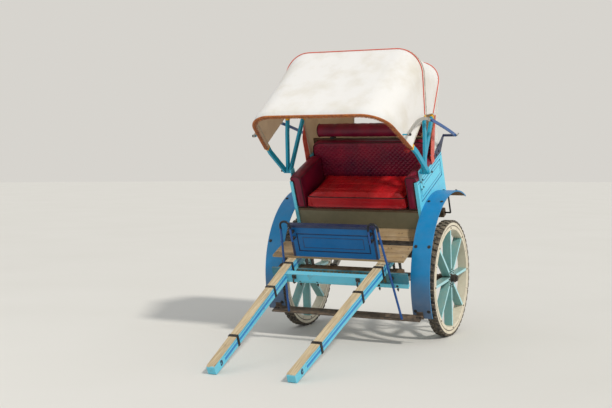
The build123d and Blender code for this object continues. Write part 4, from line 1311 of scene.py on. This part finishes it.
def bolster():
    radius, halfLength, y, z = seat["roll"]
    profile = []
    for t in [k / 36 - 1 for k in range(73)]:
        x = t * (halfLength - 0.006)
        r = radius - 0.0048 + 0.0035 * cos(t * pi / 2) + 0.0008 * sin(t * 38)
        for seam in seat["rollSeams"]:
            r -= 0.0035 * max(0.0, 1 - abs(x - seam) / 0.012)
        profile.append((x, r))
    cap = [
        (halfLength - 0.001, radius - 0.008), (halfLength, radius - 0.016), (halfLength - 0.001, 0.034),
        (halfLength - 0.007, 0.013),
    ]
    work = bmesh.new()
    rings = []
    for x, r in [(-x, r) for x, r in cap[::-1]] + profile + cap:
        ring = []
        gathered = abs(x) > halfLength - 0.0125 and r < radius - 0.012
        for a in [2 * pi * j / 64 for j in range(64)]:
            gather = 0.0022 * abs(sin(a * 18)) if gathered else 0.0
            sag = 0.0016 * noise.noise(Vector((x * 9, cos(a) * 1.3, sin(a) * 1.3)))
            end = -1 if x < 0 else 1
            ring.append((x - end * gather, y + (r + sag) * cos(a), z + (r + sag) * sin(a)))
        rings.append(newVerts(work, ring))
    addRings(work, rings, caps=True)
    outwardNormals(work)
    padFinish(workPiece("backBolster", work), "burgundyVinyl", "back_roll")
    work = bmesh.new()
    for end in (-1, 1):
        centre = Vector((end * (halfLength - 0.0055), y, z))
        rim = circle(centre, Vector((0, 1, 0)), Vector((0, 0, 1)), radius - 0.0045, 60)
        addTube(work, rim, lowerPiping, closed=True)
        addKnob(work, (end * (halfLength - 0.006), y, z), (0.006, 0.014, 0.014), 16, 8)
    closeWork("bolsterPiping", work, "darkPiping")


armPad(1, "Left")
armPad(-1, "Right")
seatPad()
backPad()
bolster()
print("upholstery made")


# Painted lines, bolts and small irons
body = {
    "lineLift": 0.0006,
    "panelFront": -0.160,
    "panelRear": 0.550,
    "fieldLow": 1.354,
    "fieldHigh": 1.523,
    "fasciaFront": -0.755,
    "guardOuter": 0.753,
    "springX": 0.430,
    "stayPivot": (0.7535, 0.660, 1.684),
    "stayKnob": (0.7395, 0.64),   # across, reach along the front bow
    "shaftBolts": (2.020, 1.250, 0.830),
}
lift = body["lineLift"]


def addFrame(work, low, high, plane, at, width, lift):
    # a painted line round a rectangle on a flat face; plane names the two axes of the face
    a, b = plane
    n = 3 - a - b
    for axis in (0, 1):
        for far in (0, 1):
            corners = [list(low), list(high)]
            corners[1 - far][axis] = (high[axis] - width) if far else (low[axis] + width)
            first, last = [0, 0, 0], [0, 0, 0]
            first[a], first[b], first[n] = *corners[0], min(at, at + lift)
            last[a], last[b], last[n] = *corners[1], max(at, at + lift)
            addBox(work, first, last)


# lines in the recess round the raised field of each side panel, and along its upper edge
work = bmesh.new()
front, rear = body["panelFront"], body["panelRear"]
for inset, rise, at, width in ((0.055, 0.0, 0.621, 0.012), (0.092, 0.036, 0.624, 0.005)):
    corners = (front + inset, body["fieldLow"] + rise), (rear - inset, body["fieldHigh"] - rise)
    addFrame(work, *corners, (1, 2), at, width, lift)
addBox(work, (0.625, front + 0.010, 1.545), (0.6256, rear - 0.004, 1.551))
mirrored(work)
addFrame(work, (-0.560, 1.165), (0.560, 1.515), (0, 2), rear, 0.012, lift)
addFrame(work, (-0.520, 1.205), (0.520, 1.475), (0, 2), rear, 0.005, lift)
closeWork("panelLines", work, "lineBluePaint", smooth=0)

# the dash: navy top edge and stiles, dark lines round its field
work = bmesh.new()
face = cart["platformFront"]
addFrame(work, (-0.345, 1.158), (0.345, 1.338), (0, 2), face + 0.008, 0.010, -lift)
addFrame(work, (-0.290, 1.196), (0.290, 1.300), (0, 2), face + 0.002, 0.005, -lift)
for x in (-0.405, 0.383):
    addBox(work, (x, face - lift, 1.1085), (x + 0.022, face, 1.3975))
addBox(work, (-0.4135, face - 0.0067, 1.3975), (0.4135, face - 0.006, 1.4195))
closeWork("dashLines", work, "navyPaint", smooth=0)

# stripes along the outer and inner sides of the shafts, and a ring at each tip
work = bmesh.new()
for at, width in ((0.050, 0.022), (0.020, 0.005)):
    for side, faceSide in bothWays:
        rings = []
        for ahead, middle, wide in ((-0.62, 0.430, 0.075), (-0.80, 0.430, 0.075), (-2.27, 0.3498, 0.0706)):
            x, z = side * (middle + faceSide * (wide + lift) / 2), cart["shaftTop"] - at
            corners = ((-lift, -width), (lift, -width), (lift, width), (-lift, width))
            rings.append(newVerts(work, [(x + dx / 2, ahead, z + dz / 2) for dx, dz in corners]))
        addRings(work, rings, caps=True)
closeWork("shaftStripes", work, "stripeBluePaint", smooth=0, outward=True)
work = bmesh.new()
for side, faceSide in bothWays:
    x, z = side * (0.3460 + faceSide * 0.0353), cart["shaftTop"] - 0.0405
    rings = []
    for radius, away in ((0.0098, 0.0), (0.0098, 0.0012), (0.0200, 0.0012), (0.0240, 0.0)):
        centre, across = Vector((x + side * faceSide * away, -2.340, z)), Vector((side * -0.0545, 1, 0))
        rings.append(newVerts(work, circle(centre, across, Vector((0, 0, 1)), radius, 28)))
    addRings(work, rings)
closeWork("shaftTipRings", work, "navyPaint", outward=True)

# slats of the fascia, with bolt ends below it
work = bmesh.new()
front = body["fasciaFront"]
for k in range(26):
    x = -0.44 + k * 0.0352
    addBox(work, (x - 0.0125, front - 0.0075, 0.899), (x + 0.0125, front, 0.985), bevel=0.002)
closeWork("fasciaSlats", work, "oliveSlat", smooth=35)
work = bmesh.new()
for x in (-0.55, -0.38, -0.21, 0.21, 0.38, 0.55):
    y = front - 0.006
    addRod(work, (x, y, 0.853), (x, y, 0.822), 0.0055, 10, capBevel=0.001)
    addRod(work, (x, y, 0.845), (x, y, 0.836), 0.0105, 6)
    addBolt(work, (x, y - 0.006, 0.874), (0, -1, 0), 0.007, 0.004)
closeWork("fasciaBolts", work, "darkIron", smooth=35)

# mudguards: bolts through the strip, over the floor and at the step bar
across, down, up = (1, 0, 0), (0, 0, -1), (0, 0, 1)
work = bmesh.new()
for a in [radians(angle) for angle in (134.5, 178.5, 62.0, 95.0)]:
    out = Vector((0, cos(a), sin(a)))
    for x in (0.652, 0.772):
        place = Vector((x, *cart["guardCentre"])) + out * (body["guardOuter"] - 0.0004)
        addBolt(work, place, out, 0.0095, 0.006, 12)
closeWork("mudguardBolts", work, "blackIron", smooth=35, twins=True)

# nuts of the spring clamps, a centre bolt and the clips round the leaves
work = bmesh.new()
x = body["springX"]
for a, b in bothWays:
    addBolt(work, (x + a * 0.030, b * 0.030, 0.4945), down, 0.008, 0.010, washer=1.3)
addBolt(work, (x, 0, 0.6045), up, 0.009, 0.008)
for end, out in bothWays:
    addBolt(work, (x + out * 0.0395, end * 0.430, 0.838), (out, 0, 0), 0.011, 0.007)
closeWork("springNuts", work, "darkIron", smooth=35, twins=True)

# bolts of the hood plates and stay arms, heads on the pins
work = bmesh.new()
for dy in (-0.026, 0.026):
    for z in (1.475, 1.545):
        addBolt(work, (hood["plateOuter"], cart["hoodY"] + dy, z), across, 0.0065, 0.005)
addBolt(work, (0.7335, cart["hoodY"], cart["hoodZ"]), across, 0.0105, 0.008, washer=0)
for y in (0.40, 0.47):
    addBolt(work, (hood["plateOuter"], y, 1.5985 + (y - 0.40) * 0.12), across, 0.007, 0.005)
closeWork("hoodPlateBolts", work, "blackIron", smooth=35, twins=True)

# wing nuts on the lower pivots of the stays, knobs on the upper ones
work = bmesh.new()
x, y, z = body["stayPivot"]
addRod(work, (x, y, z), (x + 0.010, y, z), 0.010, 14, capBevel=0.002)
for way in (-1, 1):
    root = Vector((x + 0.006, y, z))
    tip = root + Vector((0.014, way * 0.020, 0.012))
    addRod(work, root, tip, 0.0045, 8, capBevel=0.001, endRadius=0.0065)
closeWork("stayWingNuts", work, "brightSteel", smooth=35, twins=True)
work = bmesh.new()
x, reach = body["stayKnob"]
addKnob(work, bowPoint(frontLean, x, reach, 0.0), (0.0095, 0.0125, 0.0125), 18, 10)
closeWork("stayKnobs", work, "blackIron", "hood_front_bow", twins=True)

# nail heads in the shaft bands, bolts of the step bar
work = bmesh.new()
for ahead in body["shaftBolts"]:
    share = (ahead - 0.8) / 1.65
    middle, wide, tall = 0.430 - share * 0.090, 0.075 - share * 0.005, 0.100 - share * 0.020
    for out in (-1, 1):
        place = (middle + out * (wide / 2 + 0.0048), -ahead, cart["shaftTop"] - tall / 2)
        addBolt(work, place, (out, 0, 0), 0.0055, 0.003, 10, 0)
    addBolt(work, (middle, -ahead, 1.0918), up, 0.0055, 0.003, 10, 0)
for x in (0.676, 0.704):
    addBolt(work, (x, -0.7395, 0.553), up, 0.007, 0.005)
closeWork("bandNails", work, "darkIron", smooth=35, twins=True)
work = bmesh.new()
for k in range(9):
    y = cart["platformFront"] + (k + 0.5) * 0.1432 - 0.002
    for x in (0.415, 0.445, 0.60):
        addBolt(work, (x, y, 1.1079), up, 0.0048, 0.0012, 10, 0)
closeWork("boardNails", work, "darkIron", smooth=0, twins=True)
print("lines and fittings made")


# Finishes of the pieces that stay as the frame has them
nodeFinish = {
    "creamPaint": "rim",
    "spokePaint": "spokes",
    "darkIron": "hub axle_nuts spring_clamps spring_hangers trace_hooks",
    "axleSteel": "axle",
    "springSteel": "leaf_springs stays_upper",
    "shaftPaint": "shafts crossbar",
    "blackIron": "shaft_bands grab_rod_clips mudguard_stays roll_brackets",
    "darkTimber": "cross_bearers seat_deck back_board",
    "floorBoard": "floor_boards",
    "fasciaPaint": "front_fascia",
    "dashBoardPaint": "dash_panel",
    "grabRodPaint": "grab_rods",
    "stepIron": "step_bar",
    "mudguardSheet": "mudguards",
    "panelBluePaint": "side_panels rear_panel body_rail hood_plates",
    "greySeatBoard": "seat_front",
    "bowPaint": "bow_rear bow_middle bow_front",
    "stayBluePaint": "stays_lower",
    "navyPaint": "stay_arms",
}
softened = {  # radius of the worn corners on wooden and sheet pieces
    0.0022: "floor_boards",
    0.0025: "seat_front",
    0.0028: "dash_panel",
    0.0030: "side_panels rear_panel front_fascia cross_bearers bow_rear bow_middle bow_front",
    0.0035: "body_rail crossbar",
    0.0045: "shafts",
}
for name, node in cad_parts.items():
    base = name.replace("_left", "").replace("_right", "")
    finish = next((finish for finish, names in nodeFinish.items() if base in names.split()), None)
    if finish is None:
        continue
    node.data.materials.clear()
    node.data.materials.append(bpy.data.materials[finish])
    for radius, names in softened.items():
        if name in names.split():
            rounded = node.modifiers.new("wornCorners", "BEVEL")
            rounded.width = radius
            rounded.segments = 2
            rounded.limit_method = "ANGLE"
            rounded.angle_limit = radians(50)
print("frame pieces finished")


# Studio: pale floor and backdrop, soft light, the camera
studio = {
    "floorRings": (60.0, 12.0, 3.0),
    "sky": 0.92,
    "softLight": 0.62,
    "eye": (3.71, -9.18 + cart["shift"], 1.658),
    "azimuth": radians(25.79),
    "down": radians(2.64),
    "focal": 1040.0,
    "pictureWidth": 612.0,
    "sensor": 36.0,
}

work = bmesh.new()
rings = []
for radius in studio["floorRings"]:
    rings.append(newVerts(work, circle(Vector((0, 0, 0)), Vector((1, 0, 0)), Vector((0, 1, 0)), radius, 96)))
addRings(work, rings)
work.faces.new(rings[-1])
floor = workPiece("studioFloor", work)
tree, shader = startMaterial("studioFloorPaint")
color = mixColor(tree, cloud(tree, 0.6, 2.0), rgb("dcd9d2"), rgb("d6d3cb"))
feed(tree, shader, Base_Color=color, Roughness=0.9, Specular_IOR_Level=0.1)
floor.data.materials.append(bpy.data.materials["studioFloorPaint"])

# the sky is a soft light, and a plain backdrop where it is looked at
world = bpy.data.worlds.new("studioWorld")
bpy.context.scene.world = world
world.use_nodes = True
tree = world.node_tree
tree.nodes.clear()
rays = put(tree, "LightPath").outputs
seen = calc(tree, "MAXIMUM", rays["Is Camera Ray"], rays["Is Glossy Ray"])
seen = calc(tree, "MAXIMUM", seen, rays["Is Transmission Ray"])
soft = put(tree, "Background", Color=(0.93, 0.96, 1.0, 1.0), Strength=studio["softLight"])
shown = put(tree, "Background", Color=rgb("dfdcd6"), Strength=studio["sky"])
put(tree, "OutputWorld", i0=put(tree, "MixShader", i0=seen, i1=soft, i2=shown))


def addLamp(name, kind, energy, color, aim, place, size):
    data = bpy.data.lights.new(name, kind)
    data.energy = energy
    data.color = color
    setattr(data, "angle" if kind == "SUN" else "size", size)
    point(addObject(name, data), Vector(aim) - Vector(place), place)


def point(thing, look, place):
    thing.location = place
    thing.rotation_mode = "QUATERNION"
    thing.rotation_quaternion = look.to_track_quat("-Z", "Y")


addLamp("keyLamp", "SUN", 2.1, (1.0, 0.97, 0.92), (0, 0.5, 0.5), (6.5, -3.0, 7.5), 0.09)
addLamp("fillLamp", "AREA", 60, (0.93, 0.96, 1.0), (0, 0.2, 1.0), (-4.5, -6.0, 3.5), 4.0)
camera = addObject("photoCamera", bpy.data.cameras.new("photoCamera"))
around, down = studio["azimuth"], studio["down"]
point(camera, Vector((-sin(around) * cos(down), cos(around) * cos(down), -sin(down))), studio["eye"])
camera.data.sensor_width = studio["sensor"]
camera.data.lens = studio["focal"] / studio["pictureWidth"] * studio["sensor"]
camera.data.clip_end = 200.0
bpy.context.scene.camera = camera
bpy.context.scene.view_settings.view_transform = "Standard"
print("studio and camera set")
